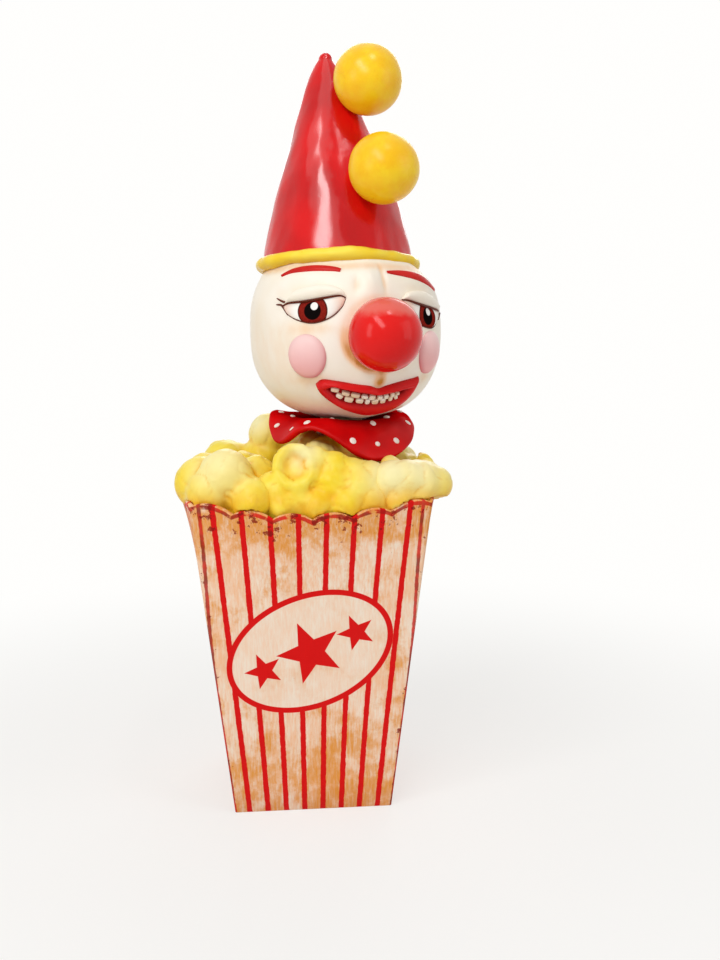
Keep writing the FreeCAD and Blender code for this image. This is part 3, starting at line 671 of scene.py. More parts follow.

# %% [markdown]
# A heap could be sculpted, but balls in the places of the CAD's puffs keep it true to the solids. A voxel remesh pulls
# one skin over the overlapping balls, and some smoothing melts the seams. What smoothing takes off a crest or fills in
# a hollow also tells how hollow a place is, and the paint puts painted shade there.

# %% One skin over many balls


def one_skin(name, balls, voxel):
    """One skin round overlapping balls."""
    work = bmesh.new()
    for x, y, z, r in balls:
        place = Matrix.Translation((x * MM, y * MM, z * MM))
        bmesh.ops.create_icosphere(work, subdivisions=3, radius=r * MM, matrix=place)
    mesh = bpy.data.meshes.new(name)
    work.to_mesh(mesh)
    work.free()
    obj = bpy.data.objects.new(name, mesh)
    scene.collection.objects.link(obj)
    skin = obj.modifiers.new("skin", "REMESH")
    skin.mode = "VOXEL"
    skin.voxel_size = voxel * MM
    made = bpy.data.meshes.new_from_object(obj.evaluated_get(bpy.context.evaluated_depsgraph_get()))
    bpy.data.objects.remove(obj)
    return made


def edges_of(mesh):
    flat = np.zeros(len(mesh.edges) * 2, np.int64)
    mesh.edges.foreach_get("vertices", flat)
    return flat.reshape(-1, 2)


def melted(points, edges, rounds):
    """Each point moves towards the middle of its neighbours, over and over."""
    count = np.bincount(edges.ravel(), minlength=len(points))[:, None]
    for _ in range(rounds):
        total = np.zeros_like(points)
        np.add.at(total, edges[:, 0], points[edges[:, 1]])
        np.add.at(total, edges[:, 1], points[edges[:, 0]])
        points = points * 0.45 + 0.55 * total / np.maximum(count, 1)
    return points


def hollows(mesh, rounds=14, depth=0.9):
    """0 on a crest and 1 in a hollow, for each point."""
    points = points_of(mesh)
    sunk = np.einsum("ij,ij->i", melted(points, edges_of(mesh), rounds) - points, normals_of(mesh))
    return np.clip(sunk / depth, 0, 1)


# %% [markdown]
# Below the rim the heap has to stay between the walls, and round the figure it leaves a well in which the figure moves.
# A Boolean cut would leave sharp edges there. Points that lie too far out are pushed back instead.

# %% Room for the heaps
STEM_X, WELL_RADIUS, RIM_LIP, WALL_GAP = 22.0, 47.8, 0.4, 0.4


def inside_walls(points):
    """Push points that lie below the rim back between the walls."""
    points = points.copy()
    for turn in range(4):
        flip = np.array(Matrix.Rotation(-math.pi / 2 * turn, 3, "Z"))
        local = points @ flip.T
        z = np.minimum(local[:, 2], BOX_HEIGHT)
        half = half_width(z)
        across = np.clip(local[:, 0] / half, -1, 1)
        limit = -(half - WALL - WALL_GAP) - bow(z) * (1 - across ** 2)
        low = local[:, 2] < rim_height(across) + RIM_LIP
        local[:, 1] = np.where(low, np.maximum(local[:, 1], limit), local[:, 1])
        points = local @ flip
    return points


def out_of_well(points):
    """Push points out of the round well in which the figure moves."""
    points = points.copy()
    off = points[:, :2] - (STEM_X, 0)
    reach = np.linalg.norm(off, axis=1)
    grow = np.maximum(WELL_RADIUS / np.maximum(reach, 1e-6), 1.0)
    points[:, :2] = off * grow[:, None] + (STEM_X, 0)
    return points


print("well of radius", WELL_RADIUS, "mm round the stem")

# %% [markdown]
# Real kernels burst unevenly. Small puffs break out of the larger ones and others fill the floor between them, all from
# dice with a fixed seed, so that every run gives the same heap.

# %% Small puffs
LEAST_BURST = 11.0


def popped(balls, seed, share=0.5, count=6):
    """Smaller puffs that have burst out of the larger ones."""
    dice = random.Random(seed)
    found = []
    for x, y, z, r in balls:
        if r < LEAST_BURST:
            continue
        for _ in range(count):
            turn, rise = dice.uniform(0, 2 * math.pi), dice.uniform(-0.1, 1.0)
            flat = math.sqrt(1 - min(rise, 1.0) ** 2)
            small = r * dice.uniform(share - 0.1, share + 0.08)
            far = r + dice.uniform(0.5, 2.2) - small
            found.append((x + far * flat * math.cos(turn), y + far * flat * math.sin(turn), z + far * rise, small))
    return found


def floor_puffs(limits, seed):
    """Small puffs that fill a heap's floor between its large ones."""
    dice = random.Random(seed)
    x0, x1, y0, y1 = limits
    found = []
    for gx in range(-60, 61, 10):
        for gy in range(-60, 61, 10):
            x, y = gx + dice.uniform(-2.5, 2.5), gy + dice.uniform(-2.5, 2.5)
            z, r = 181 + dice.uniform(-2, 3), dice.uniform(6.5, 8.5)
            within = x0 - 3 <= x <= x1 + 3 and y0 - 3 <= y <= y1 + 3
            if within and math.hypot(x - STEM_X, y) > WELL_RADIUS + r - 2:
                found.append((x, y, z, r))
    return found


# %% [markdown]
# The skin of a heap then gets its wrinkles: noise of two sizes along its normals, and thin folds where a third noise
# passes through zero.

# %% Skin of a heap


def heap_mesh(name, balls, fit, voxel=1.4, rounds=5, wrinkle=0.5, seed=1):
    """Wrinkled skin over balls, fitted into its room."""
    mesh = one_skin(name, balls, voxel)
    points = melted(points_of(mesh), edges_of(mesh), rounds)
    move_points(mesh, points)
    out = normals_of(mesh)
    rough = bumps(points, 9.0, wrinkle, seed) + bumps(points, 3.6, wrinkle * 0.45, seed + 5)
    fold = np.array([abs(noise.noise(Vector(p) / 11.0 + Vector((seed, 0, 7)))) for p in points])
    rough -= wrinkle * 1.1 * np.exp(-(fold / 0.07) ** 2)
    move_points(mesh, fit(points + out * rough[:, None]))
    mesh.shade_smooth()
    # How hollow each point is, which the paint turns into painted shade.
    tag(mesh, "hollow", hollows(mesh))
    return mesh


def fixed_fit(points):
    """Room of the heaps that stand in the box."""
    return out_of_well(inside_walls(points))


# %% [markdown]
# Seven heaps stand round the figure. Each has its limits in plan (left, right, front, back) and its large puffs (right,
# behind, up, radius), which follow the photograph where it shows them.

# %% Places of the puffs
SEAM_LEFT, SEAM_RIGHT, SEAM_BACK = -25.8, 38.0, -10.0
EDGE = 80.0
heaps = {
    "popcorn_front_left": ((-EDGE, SEAM_LEFT, -EDGE, -24), [
        (-48, -55, 205, 15.5), (-62, -42, 199, 16), (-56, -54, 196, 15), (-34, -62, 192, 13), (-34, -43, 193, 14),
        (-62, -31, 193, 14), (-45, -31, 194, 14), (-58, -58, 189, 11), (-31, -40, 204, 11)]),
    "popcorn_front": ((SEAM_LEFT, SEAM_RIGHT, -EDGE, -24), [
        (-7, -57, 189, 14), (-20, -56, 194, 13.5), (12, -56, 198, 14), (27, -57, 198, 14), (3, -65, 188, 9.5),
        (20, -65, 189, 10.5), (-16, -64, 188, 9), (3, -55, 212.5, 9), (13, -55, 208.5, 10), (24, -56, 204, 10.5),
        (34, -56, 203, 10), (33, -60, 191, 12)]),
    "popcorn_front_right": ((SEAM_RIGHT, EDGE, -EDGE, 0), [
        (46, -59, 200.5, 12.5), (54, -58, 200.5, 12.8), (63, -56, 199.5, 12.4), (71, -52, 197.5, 11.5),
        (50, -51, 198, 13), (62, -45, 198, 13.5), (68, -36, 197, 13), (50, -63, 190, 10), (59, -60, 190, 10),
        (69, -24, 197, 11), (71, -15, 199, 9.5), (70, -10, 203, 8.5), (47, -45, 208, 6.5)]),
    "popcorn_rear_right": ((SEAM_RIGHT, EDGE, 0, EDGE), [
        (62, 46, 198, 14), (48, 60, 195, 14), (68, 33, 194, 12), (56, 56, 191, 11)]),
    "popcorn_rear": ((SEAM_BACK, SEAM_RIGHT, 22, EDGE), [
        (4, 60, 193, 16), (22, 61, 192, 15), (14, 68, 190, 11), (33, 62, 191, 13), (-2, 54, 191, 13)]),
    "popcorn_rear_left": ((-EDGE, SEAM_BACK, 22, EDGE), [
        (-22, 50, 218, 14.3), (-26, 49, 202, 15.6), (-51, 51, 198, 17), (-24, 60, 198, 15), (-40, 64, 190, 13),
        (-62, 36, 194, 14), (-58, 58, 188, 10), (-10, 53, 213, 11.5)]),
    "popcorn_left": ((-EDGE, SEAM_LEFT, -24, 22), [
        (-60, -8, 198, 15), (-58, 12, 194, 15), (-40, 2, 198, 15), (-34, -15, 194, 13), (-36, 16, 192, 13),
        (-69, 2, 190, 11)]),
}
print("heaps", len(heaps), "with", sum(len(balls) for limits, balls in heaps.values()), "large puffs")

# %% [markdown]
# One puff in front has opened into a ring with a floor. It is a circle of small balls, tipped towards the front, with
# more of them behind it. Painted highlights on the tops of puffs and scraps of hull are spots with a radius.

# %% Ring-shaped puff and spots of colour
ring_turn = Vector((-0.05, -0.93, 0.35)).normalized().to_track_quat("Z", "Y")
ring_middle = Vector((-9, -62.5, 210))
ring_puff = [tuple(ring_middle + ring_turn @ Vector((10.0 * math.cos(a), 11.2 * math.sin(a), 0))) + (3.5,)
             for a in np.linspace(0, 2 * math.pi, 32, endpoint=False)]
ring_puff += [tuple(ring_middle + ring_turn @ Vector((x, y, -4.6))) + (4.6,)
              for x in (-6, -2, 2, 6) for y in (-7, -2.3, 2.3, 7)]
ring_puff.append((-8.5, -49.0, 205, 11.0))
HULLS = ((7, -57, 211, 2.6), (6, -58, 207, 2.2), (58, -44, 212, 3.0), (-57, -63, 190, 3.2))
PAINTED_HIGHLIGHT_PUFFS = ((-50, -58, 210, 16), (46, -64, 205, 16), (58, -60, 206, 18), (70, -46, 203, 16), (-4, -58, 216, 9),
              (-32, 42, 228, 13), (62, 46, 206, 14), (4, 60, 205, 12), (-60, 0, 208, 12))
print("ring of", len(ring_puff), "small balls")

# %% [markdown]
# The smooth puffs that the photograph shows stay whole, so the first few of a heap's list have nothing burst out of
# them. The skins are then pulled over and painted.

# %% Popcorn heaps
WHOLE_PUFFS = {"popcorn_front_left": 3, "popcorn_front": 12, "popcorn_front_right": 9, "popcorn_rear_left": 2}


def nearness(points, spots):
    """1 in the middle of a spot and 0 well away from it, for each point."""
    near = np.zeros(len(points))
    for x, y, z, r in spots:
        near = np.maximum(near, np.exp(-(np.linalg.norm(points - (x, y, z), axis=1) / r) ** 2))
    return near


for seed, (node, (limits, balls)) in enumerate(heaps.items(), start=1):
    small = popped(balls[WHOLE_PUFFS.get(node, 0):], seed)
    if node == "popcorn_front":
        small += ring_puff
    small += floor_puffs(limits, seed + 20)
    mesh = heap_mesh(node + "_puffs", balls + small, fixed_fit, seed=seed)
    # Painted highlight: paler paint near the listed puff tops.
    tag(mesh, "pale", nearness(points_of(mesh), PAINTED_HIGHLIGHT_PUFFS))
    tag(mesh, "hull", np.clip(2.5 * nearness(points_of(mesh), HULLS) - 0.6, 0, 1))
    finished(node + "_puffs", mesh, popcorn_paint, "box", "popcorn", node)
    print(node, len(mesh.polygons), "faces")

# %% [markdown]
# ## Waved collar
# The collar is a stiff, painted ruffle. A cloth simulation would give soft folds, but these are modelled by hand and
# the head turns close above them. So its edge rises and falls by a list of crests and hollows with their directions,
# and between them the height follows half a cosine. The fold grows from the root to the edge, the strip is rolled up a
# little under the chin, and a ceiling keeps it below the lowest places that the turning head reaches.

# %% Folds of the collar
COLLAR_ROOT, COLLAR_EDGE, COLLAR_HEIGHT, COLLAR_HALF = 14.2, 43.2, 230.0, 1.75
COLLAR_ROLL = 5.0
CEILING_RADII = (14, 24, 28, 32, 38, 42, 46)
CEILING_HEIGHTS = (230.7, 230.9, 231.7, 233.2, 233.6, 234.7, 237.0)
COLLAR_FOLDS = ((-180, 4.0), (-158, -10.0), (-108, 6.0), (-62, -9.5), (-29, 0.0), (24, -18.5), (125, 4.0),
                (152, -10.5))


def fold_height(direction):
    """Height of the collar's edge over its root, in degrees from the front towards the right."""
    direction = (np.asarray(direction, float) + 180) % 360 - 180
    folds = COLLAR_FOLDS + ((COLLAR_FOLDS[0][0] + 360, COLLAR_FOLDS[0][1]),)
    height = np.zeros(direction.shape)
    for (a, low), (b, high) in zip(folds, folds[1:]):
        rise = low + (high - low) * (1 - np.cos(np.pi * (direction - a) / (b - a))) / 2
        height = np.where((direction >= a) & (direction <= b), rise, height)
    return height


def collar_middle(direction, outward):
    """Middle surface of the collar: outward is 0 at the neck and 1 at the edge."""
    direction, outward = np.broadcast_arrays(np.asarray(direction, float), np.asarray(outward, float))
    radius = COLLAR_ROOT + outward * (COLLAR_EDGE - COLLAR_ROOT)
    angle = np.radians(direction)
    fold, inside = fold_height(direction), np.clip(outward, 0, 1.1)
    roll = COLLAR_ROLL * np.sin(np.pi * inside ** 0.9)
    height = COLLAR_HEIGHT + fold * inside ** np.where(fold > 0, 1.8, 2.0) + roll
    ceiling = np.interp(radius, CEILING_RADII, CEILING_HEIGHTS)
    height = (height + ceiling - np.sqrt((height - ceiling) ** 2 + 1.0)) / 2
    return np.stack([STEM_X + radius * np.sin(angle), -radius * np.cos(angle), height], -1)


def collar_up(direction, outward):
    """Upward normal of the collar."""
    direction, outward = np.asarray(direction), np.asarray(outward)
    across = collar_middle(direction + 0.5, outward) - collar_middle(direction - 0.5, outward)
    along = collar_middle(direction, outward + 0.01) - collar_middle(direction, outward - 0.01)
    up = np.cross(across, along)
    up /= np.linalg.norm(up, axis=-1, keepdims=True)
    return np.where(up[..., 2:] < 0, -up, up)


print("collar's edge from", COLLAR_HEIGHT + min(h for d, h in COLLAR_FOLDS), "mm up")

# %% [markdown]
# The section runs out along the upper side, round the edge and back along the lower side, and is carried once round the
# neck, so the skin closes on itself. Varnish shines on the hanging folds. The flat top under the chin stays dull, which
# a clear coat gives that is masked by how steep the surface is.

# %% Collar
RED_DEEP, RED_BRIGHT, RED_SHADE = rgb(0.52, 0.002, 0.003), rgb(0.70, 0.003, 0.004), rgb(0.12, 0.001, 0.002)
directions = np.linspace(-180, 180, 240, endpoint=False)
steps = np.linspace(0.02, 1.0, 16)
upper = [collar_middle(directions, t) + COLLAR_HALF * collar_up(directions, t) for t in steps]
lower = [collar_middle(directions, t) - COLLAR_HALF * collar_up(directions, t) for t in steps[::-1]]
edge_out = collar_middle(directions, 1.02) - collar_middle(directions, 1.0)
edge_out /= np.linalg.norm(edge_out, axis=-1, keepdims=True)
edge = []
for a in np.linspace(0, math.pi, 9)[1:-1]:
    rounded = math.cos(a) * collar_up(directions, 1.0) + math.sin(a) * edge_out
    edge.append(collar_middle(directions, 1.0) + COLLAR_HALF * rounded)
mesh = ring_skin("collar_ruffle", upper + edge + lower)
points = points_of(mesh)
move_points(mesh, points + normals_of(mesh) * bumps(points, 12.0, 0.6, 3.0)[:, None])
# Painted shade: the collar darkens near its root, under the chin, and a little in the hollows of its folds.
shade_under_chin = np.clip(1.25 - (np.hypot(points[:, 0] - STEM_X, points[:, 1]) - COLLAR_ROOT) / 18, 0, 1)
tag(mesh, "hollow", np.clip(shade_under_chin + hollows(mesh, 40, 2.0) * 0.5, 0, 1))
tag(mesh, "flat", np.clip((np.abs(normals_of(mesh)[:, 2]) - 0.62) / 0.25, 0, 1))
collar_red = varnished("collar red", RED_DEEP, RED_BRIGHT, RED_SHADE, grain=0.18, shine=0.0, gloss=(0.24, 0.36))
n, coat = coated(collar_red, 0.28)
n.put(coat, n.fade(n.tagged("flat"), 0.0, 1.0, 0.28, 0.0))
finished("collar_ruffle", mesh, collar_red, "jack", "red_varnish", "collar")
print("collar", len(mesh.polygons), "faces")

# %% [markdown]
# What repeats or follows a path is made with Geometry Nodes: the collar's dots, the teeth and the spring. A tree has
# named inputs for its sizes. It could stay on the piece as a modifier, but the export wants plain meshes, so its result
# is taken out and the modifier goes.

# %% Geometry Nodes helpers


def new_shape_tree(name, inputs):
    """Empty Geometry Nodes tree with named inputs, and what it hands in and takes out."""
    tree = bpy.data.node_groups.new(name, "GeometryNodeTree")
    tree.interface.new_socket("Geometry", in_out="INPUT", socket_type="NodeSocketGeometry")
    kinds = {int: "NodeSocketInt", float: "NodeSocketFloat", bpy.types.Material: "NodeSocketMaterial"}
    for label, value in inputs.items():
        kind = next(kinds[k] for k in kinds if isinstance(value, k))
        tree.interface.new_socket(label, in_out="INPUT", socket_type=kind)
    tree.interface.new_socket("Geometry", in_out="OUTPUT", socket_type="NodeSocketGeometry")
    n = Nodes(tree)
    return tree, n, n.add("NodeGroupInput").outputs, n.add("NodeGroupOutput").inputs


def grown(name, tree, values, base=None):
    """Plain mesh that a tree makes, with its inputs set by name."""
    obj = bpy.data.objects.new(name, base or bpy.data.meshes.new(name))
    scene.collection.objects.link(obj)
    grow = obj.modifiers.new("grow", "NODES")
    grow.node_group = tree
    for item in tree.interface.items_tree:
        if item.in_out == "INPUT" and item.name in values:
            grow[item.identifier] = values[item.name]
    made = bpy.data.meshes.new_from_object(obj.evaluated_get(bpy.context.evaluated_depsgraph_get()))
    obj.modifiers.clear()
    bpy.data.objects.remove(obj)
    made.name = name
    return made


def spots_mesh(name, places, directions, **more):
    """Loose points with the direction of the surface, on which a tree sets its instances."""
    mesh = bpy.data.meshes.new(name)
    mesh.from_pydata([tuple(Vector(p) * MM) for p in places], [], [])
    for label, values in {"outward": directions, **more}.items():
        layer = mesh.attributes.new(label, "FLOAT_VECTOR", "POINT")
        layer.data.foreach_set("vector", np.asarray([tuple(v) for v in values], np.float32).ravel())
    return mesh


def vector_tag(n, label):
    node = n.add("GeometryNodeInputNamedAttribute", {"Name": label}, data_type="FLOAT_VECTOR")
    return node.outputs["Attribute"]


def ended(n, give, instances, finish):
    """Every tree of repeats ends the same way: real geometry with its finish."""
    real = n.add("GeometryNodeRealizeInstances", {"Geometry": instances})
    smooth = n.add("GeometryNodeSetShadeSmooth", {"Geometry": real.outputs[0]})
    painted = n.add("GeometryNodeSetMaterial", {"Geometry": smooth.outputs[0], "Material": finish})
    n.put(give["Geometry"], painted.outputs[0])


def random_scale(n, low, high, seed):
    """Scale of each instance, drawn between two vectors."""
    node = n.add("FunctionNodeRandomValue", {"Seed": seed}, data_type="FLOAT_VECTOR")
    node.inputs[0].default_value = low
    node.inputs[1].default_value = high
    return node.outputs[0]


# %% [markdown]
# White dots sit on the collar. They are flattened drops of paint in two loose rows over the upper side. Painted as a
# mask they would be flat, so each is an instance on a point that carries the direction of the surface under it.

# %% Collar dots
DOT_ROWS = ((0.88, 13), (0.55, 7))  # share of the way out to the edge, and how many
dot_white = varnished("dot white", rgb(0.88, 0.80, 0.74), rgb(0.93, 0.88, 0.82), rgb(0.7, 0.5, 0.4), dents=0.1)
dot_sizes = {"Radius": 0.0020, "Seed": 4, "Finish": dot_white}
dot_tree, n, have, give = new_shape_tree("Collar dots", dot_sizes)
drop = n.add("GeometryNodeMeshUVSphere", {"Segments": 14, "Rings": 8, "Radius": have["Radius"]})
flattened = n.add("GeometryNodeTransform", {"Geometry": drop.outputs["Mesh"], "Scale": (1.0, 1.0, 0.4)})
turn = n.add("FunctionNodeAlignRotationToVector", {"Vector": vector_tag(n, "outward")}, axis="Z")
sizes = random_scale(n, (0.8, 0.8, 0.8), (1.2, 1.2, 1.2), have["Seed"])
on = {"Points": have["Geometry"], "Instance": flattened.outputs[0], "Rotation": turn.outputs[0], "Scale": sizes}
ended(n, give, n.add("GeometryNodeInstanceOnPoints", on).outputs[0], have["Finish"])

dice = random.Random(6)
places, directions = [], []
for row, (outward, count) in enumerate(DOT_ROWS):
    for k in range(count):
        direction = 360 * (k + 0.5 * row + dice.uniform(-0.25, 0.25)) / count
        t = outward + dice.uniform(-0.05, 0.03)
        up = collar_up(direction, t)
        places.append(collar_middle(direction, t) + up * COLLAR_HALF)
        directions.append(up)
mesh = grown("collar_dots", dot_tree, dot_sizes, spots_mesh("dot places", places, directions))
finished("collar_dots", mesh, dot_white, "jack", "face_white")
print("dots", len(places))

# %% [markdown]
# The figure has a ring of popcorn of its own, which rises and sinks with it. It is made as the heaps are, but its room
# is another one: inside the well, above the lowest place that it may reach, and under the collar.

# %% Popcorn on the figure
BUST_REACH, BUST_LOWEST, UNDER_COLLAR = 45.0, 184.2, 2.6


def bust_fit(points):
    """Keep the figure's popcorn inside the well and above the lowest place that it reaches."""
    points = points.copy()
    off = points[:, :2] - (STEM_X, 0)
    reach = np.linalg.norm(off, axis=1)
    shrink = np.minimum(BUST_REACH / np.maximum(reach, 1e-6), 1.0)
    off = off * shrink[:, None]
    points[:, :2] = off + (STEM_X, 0)
    points[:, 2] = np.maximum(points[:, 2], BUST_LOWEST)
    direction = np.degrees(np.arctan2(off[:, 0], -off[:, 1]))
    outward = np.clip((np.hypot(off[:, 0], off[:, 1]) - COLLAR_ROOT) / (COLLAR_EDGE - COLLAR_ROOT), 0, 1)
    points[:, 2] = np.minimum(points[:, 2], collar_middle(direction, outward)[:, 2] - UNDER_COLLAR)
    return points


PUFF_RING, PUFF_RADIUS, BUST_BOTTOM = 30.0, 13.5, 184.0
NECK_RING, NECK_HEIGHT, NECK_RADIUS = 20.0, 215.0, 9.5
PUFF_RISES = (18.0, 20.0, 18.0, 14.0, 20.0, 15.0, 24.0, 12.5, 12.5)
bust_balls, neck_balls = [], []
for k, rise in enumerate(PUFF_RISES):
    angle = 2 * math.pi * k / len(PUFF_RISES)
    right, behind = math.cos(angle), math.sin(angle)
    bust_balls.append((STEM_X + PUFF_RING * right, PUFF_RING * behind, BUST_BOTTOM + rise, PUFF_RADIUS))
    neck_balls.append((STEM_X + NECK_RING * right, NECK_RING * behind, NECK_HEIGHT, NECK_RADIUS))
mesh = heap_mesh("bust_puffs", bust_balls + neck_balls + popped(bust_balls, 31, count=2), bust_fit, seed=12)
tag(mesh, "pale", np.clip(bumps(points_of(mesh), 16.0, 1.4, 2.0), 0, 1))
finished("bust_puffs", mesh, popcorn_paint, "jack", "popcorn", "bust_popcorn")
print("figure's popcorn", len(mesh.polygons), "faces")

# %% [markdown]
# ## Head
# The head is a full form of paper pulp: its outline is a superellipse, which lies between an oval and a rounded block.
# The CAD head follows the same rule. Its modelling could be sculpted, but hills and dips that are listed by their place
# on the face are easy to move: the bridge of the nose, the frown, the sockets and the chin. Places are in degrees, to
# the right of the face's middle line and above its middle.

# %% Head form
HEAD_MIDDLE = np.array([25.0, 0.0, 290.0])
HEAD_RADIUS, HEAD_CROWN, HEAD_JAW, HEAD_FULLNESS, HEAD_YAW = 58.0, 46.0, 57.0, 2.6, 13.0
NOSE_RADIUS, NOSE_STAND, NOSE_TURN, NOSE_DROP = 20.8, 8.0, 2.0, -6.0
FACE_HILLS = (
    # azimuth, elevation, height, spread in azimuth, spread in elevation
    (-3, 18, 2.2, 7, 11), (-11, 22, -1.3, 2.2, 5), (6, 24, -1.4, 1.8, 8), (-3, 25, 1.0, 4, 6),
    (-38, 8, -1.6, 17, 8), (36, 6, -1.6, 17, 8), (-40, 26, 1.2, 20, 5), (34, 25, 1.2, 20, 5),
    (-40, -17, 0.8, 18, 14), (40, -17, 0.8, 18, 14), (4, -31, 1.5, 2.6, 3.2), (0, -66, 1.2, 22, 7),
    (-40, -36, -0.9, 4, 7), (38, -33, -0.9, 4, 7), (78, 36, -4.5, 32, 15),
)


def facing(azimuth, elevation):
    """Direction in which a place on the face looks."""
    a, e = np.radians(np.asarray(azimuth, float) + HEAD_YAW), np.radians(np.asarray(elevation, float))
    return np.stack([np.sin(a) * np.cos(e), -np.cos(a) * np.cos(e), np.sin(e)], -1)


def head_reach(elevation):
    """How far the smooth head reaches from its middle."""
    e = np.radians(np.asarray(elevation, float))
    height = np.where(e > 0, HEAD_CROWN, HEAD_JAW)
    power = (np.cos(e) / HEAD_RADIUS) ** HEAD_FULLNESS + (np.abs(np.sin(e)) / height) ** HEAD_FULLNESS
    return power ** (-1 / HEAD_FULLNESS)


def carving(azimuth, elevation):
    """Height of the hills and dips at a place on the face."""
    azimuth, elevation = np.asarray(azimuth, float), np.asarray(elevation, float)
    total = np.zeros(np.broadcast(azimuth, elevation).shape)
    for a, e, height, wide, tall in FACE_HILLS:
        off = (azimuth - a + 180) % 360 - 180
        total += height * np.exp(-(off / wide) ** 2 - ((elevation - e) / tall) ** 2)
    return total


def on_face(azimuth, elevation, stand=0.0):
    """Point on the carved head, proud of it by stand."""
    far = head_reach(elevation) + carving(azimuth, elevation) + np.asarray(stand, float)
    return HEAD_MIDDLE + facing(azimuth, elevation) * far[..., None]


nose_middle = HEAD_MIDDLE + facing(NOSE_TURN, NOSE_DROP) * (head_reach(NOSE_DROP) + NOSE_STAND)
turns, rises = np.meshgrid(np.linspace(-180, 180, 288, endpoint=False), np.linspace(-88.5, 88.5, 140))
mesh = closed_skin("head_form", on_face(turns, rises))
points = points_of(mesh)
move_points(mesh, points + normals_of(mesh) * bumps(points, 22.0, 0.7, 1.0)[:, None])
points = points_of(mesh)
print("head", len(mesh.polygons), "faces")

# %% [markdown]
# The face is a warm white with a brown wash, which stays where a cloth doesn't reach when it is wiped off: round the
# base of the nose, under the hat band, round the cheeks and along the frown. The same number also carries painted
# shade: the wash round the nose grows towards its underside, and broad spots darken the face under the mouth and
# chin, low on both sides and at the back. Each of those places adds to one number per point, which the face paint
# reads.

# %% Wash on the face
# Brown wash, and painted shade in the broad spots low on the sides, under the chin and at the back.
WASH_AND_SHADE_SPOTS = (
    # azimuth, elevation, amount, spread in azimuth, spread in elevation
    (-11, 22, 0.26, 2.4, 5), (6, 24, 0.34, 1.6, 8), (4, -32, 0.95, 3.6, 4), (-50, -20, 0.16, 30, 26),
    (-86, -8, 0.14, 34, 40), (62, -20, 0.14, 26, 30), (0, -72, 0.30, 60, 14), (-36, -3, 0.22, 16, 4),
    (-40, -31, 0.22, 13, 4), (40, -31, 0.2, 13, 4), (-38, 18, 0.15, 22, 4), (30, 20, 0.15, 22, 4),
    (150, -10, 0.14, 60, 40), (0, 33, 0.34, 180, 4),
)
from_nose = points - nose_middle
nose_axis = facing(NOSE_TURN, NOSE_DROP)
beside = np.linalg.norm(from_nose - np.outer(from_nose @ nose_axis, nose_axis), axis=1) - NOSE_RADIUS
# Painted shade: the wash round the nose is strongest under it.
shade_below_nose = np.clip((nose_middle[2] + 6 - points[:, 2]) / 22, 0, 1)
on_front = from_nose @ nose_axis > -40
wash = np.exp(-(np.maximum(beside + 0.5, 0) / 2.6) ** 2) * (0.22 + 0.78 * shade_below_nose) * on_front
middle = points - HEAD_MIDDLE
turn = np.degrees(np.arctan2(middle[:, 0], -middle[:, 1])) - HEAD_YAW
rise = np.degrees(np.arctan2(middle[:, 2], np.hypot(middle[:, 0], middle[:, 1])))
for a, e, much, wide, tall in WASH_AND_SHADE_SPOTS:
    off = (turn - a + 180) % 360 - 180
    wash += much * np.exp(-(off / wide) ** 2 - ((rise - e) / tall) ** 2)
tag(mesh, "wash", np.clip(wash, 0, 1))
print("wash on", round(100 * float((wash > 0.3).mean())), "% of the head")

# %% Face paint
face_white, n, shader, skin = new_finish("face white", (0.3, 0.45), 0.25, 0.16, 0.15)
streaky = n.cloud(n.place((1, 1, 0.5)), 0.11, 5.0)
# The wash tag carries brown wash and painted shade alike; both turn the white towards brown.
amount = n.math("MULTIPLY", n.tagged("wash"), n.fade(streaky, 0.2, 0.7, 0.75, 1.2))
body = n.mix(skin["Patches"], rgb(0.92, 0.84, 0.70), rgb(0.94, 0.88, 0.78))
body = n.mix(n.fade(amount, 0.05, 0.55), body, rgb(0.86, 0.56, 0.32))
n.put(shader.inputs["Base Color"], n.mix(n.fade(amount, 0.5, 1.0), body, rgb(0.58, 0.24, 0.03)))
finished("head_form", mesh, face_white, "head", "face_white", "head")
print("face paint", len(n.tree.nodes), "nodes")

# %% [markdown]
# ## Nose and cheeks
# The nose is a ball that sits in the face on a bead of glue. An icosphere with a little noise does for it, because a UV
# sphere would pinch at its poles. Its top carries a painted reflection, a dull pink cap, which a tag for height places.

# %% Nose
nose_red, n, shader, skin = new_finish("nose red", (0.09, 0.15), 0.20, 0.1, 0.12)
body = n.mix(skin["Patches"], rgb(0.68, 0.004, 0.004), rgb(0.78, 0.008, 0.006))
# Painted reflection: a dull pink cap over the top of the nose, with a ragged edge.
painted_reflection = n.math("MULTIPLY_ADD", n.cloud(n.place(), 0.12, 3.0), 0.3, n.tagged("top"))
n.put(shader.inputs["Base Color"], n.mix(n.fade(painted_reflection, 0.60, 0.84, 0.0, 0.38), body, rgb(0.80, 0.34, 0.26)))


def ball_mesh(name, middle, radius, uneven, seed):
    """Ball that was rolled by hand."""
    work = bmesh.new()
    place = Matrix.Translation(Vector(middle) * MM)
    bmesh.ops.create_icosphere(work, subdivisions=5, radius=radius * MM, matrix=place)
    mesh = bpy.data.meshes.new(name)
    work.to_mesh(mesh)
    work.free()
    points = points_of(mesh)
    out = (points - middle) / radius
    move_points(mesh, points + out * bumps(points, radius * 0.9, uneven, seed)[:, None])
    mesh.shade_smooth()
    return mesh


mesh = ball_mesh("nose_ball", nose_middle, NOSE_RADIUS, 0.5, 2.0)
# Height over the nose's middle, which places the painted reflection on top.
tag(mesh, "top", (points_of(mesh)[:, 2] - nose_middle[2]) / NOSE_RADIUS)
finished("nose_ball", mesh, nose_red, "head", "red_varnish", "nose")
print("nose at", nose_middle.round(1))

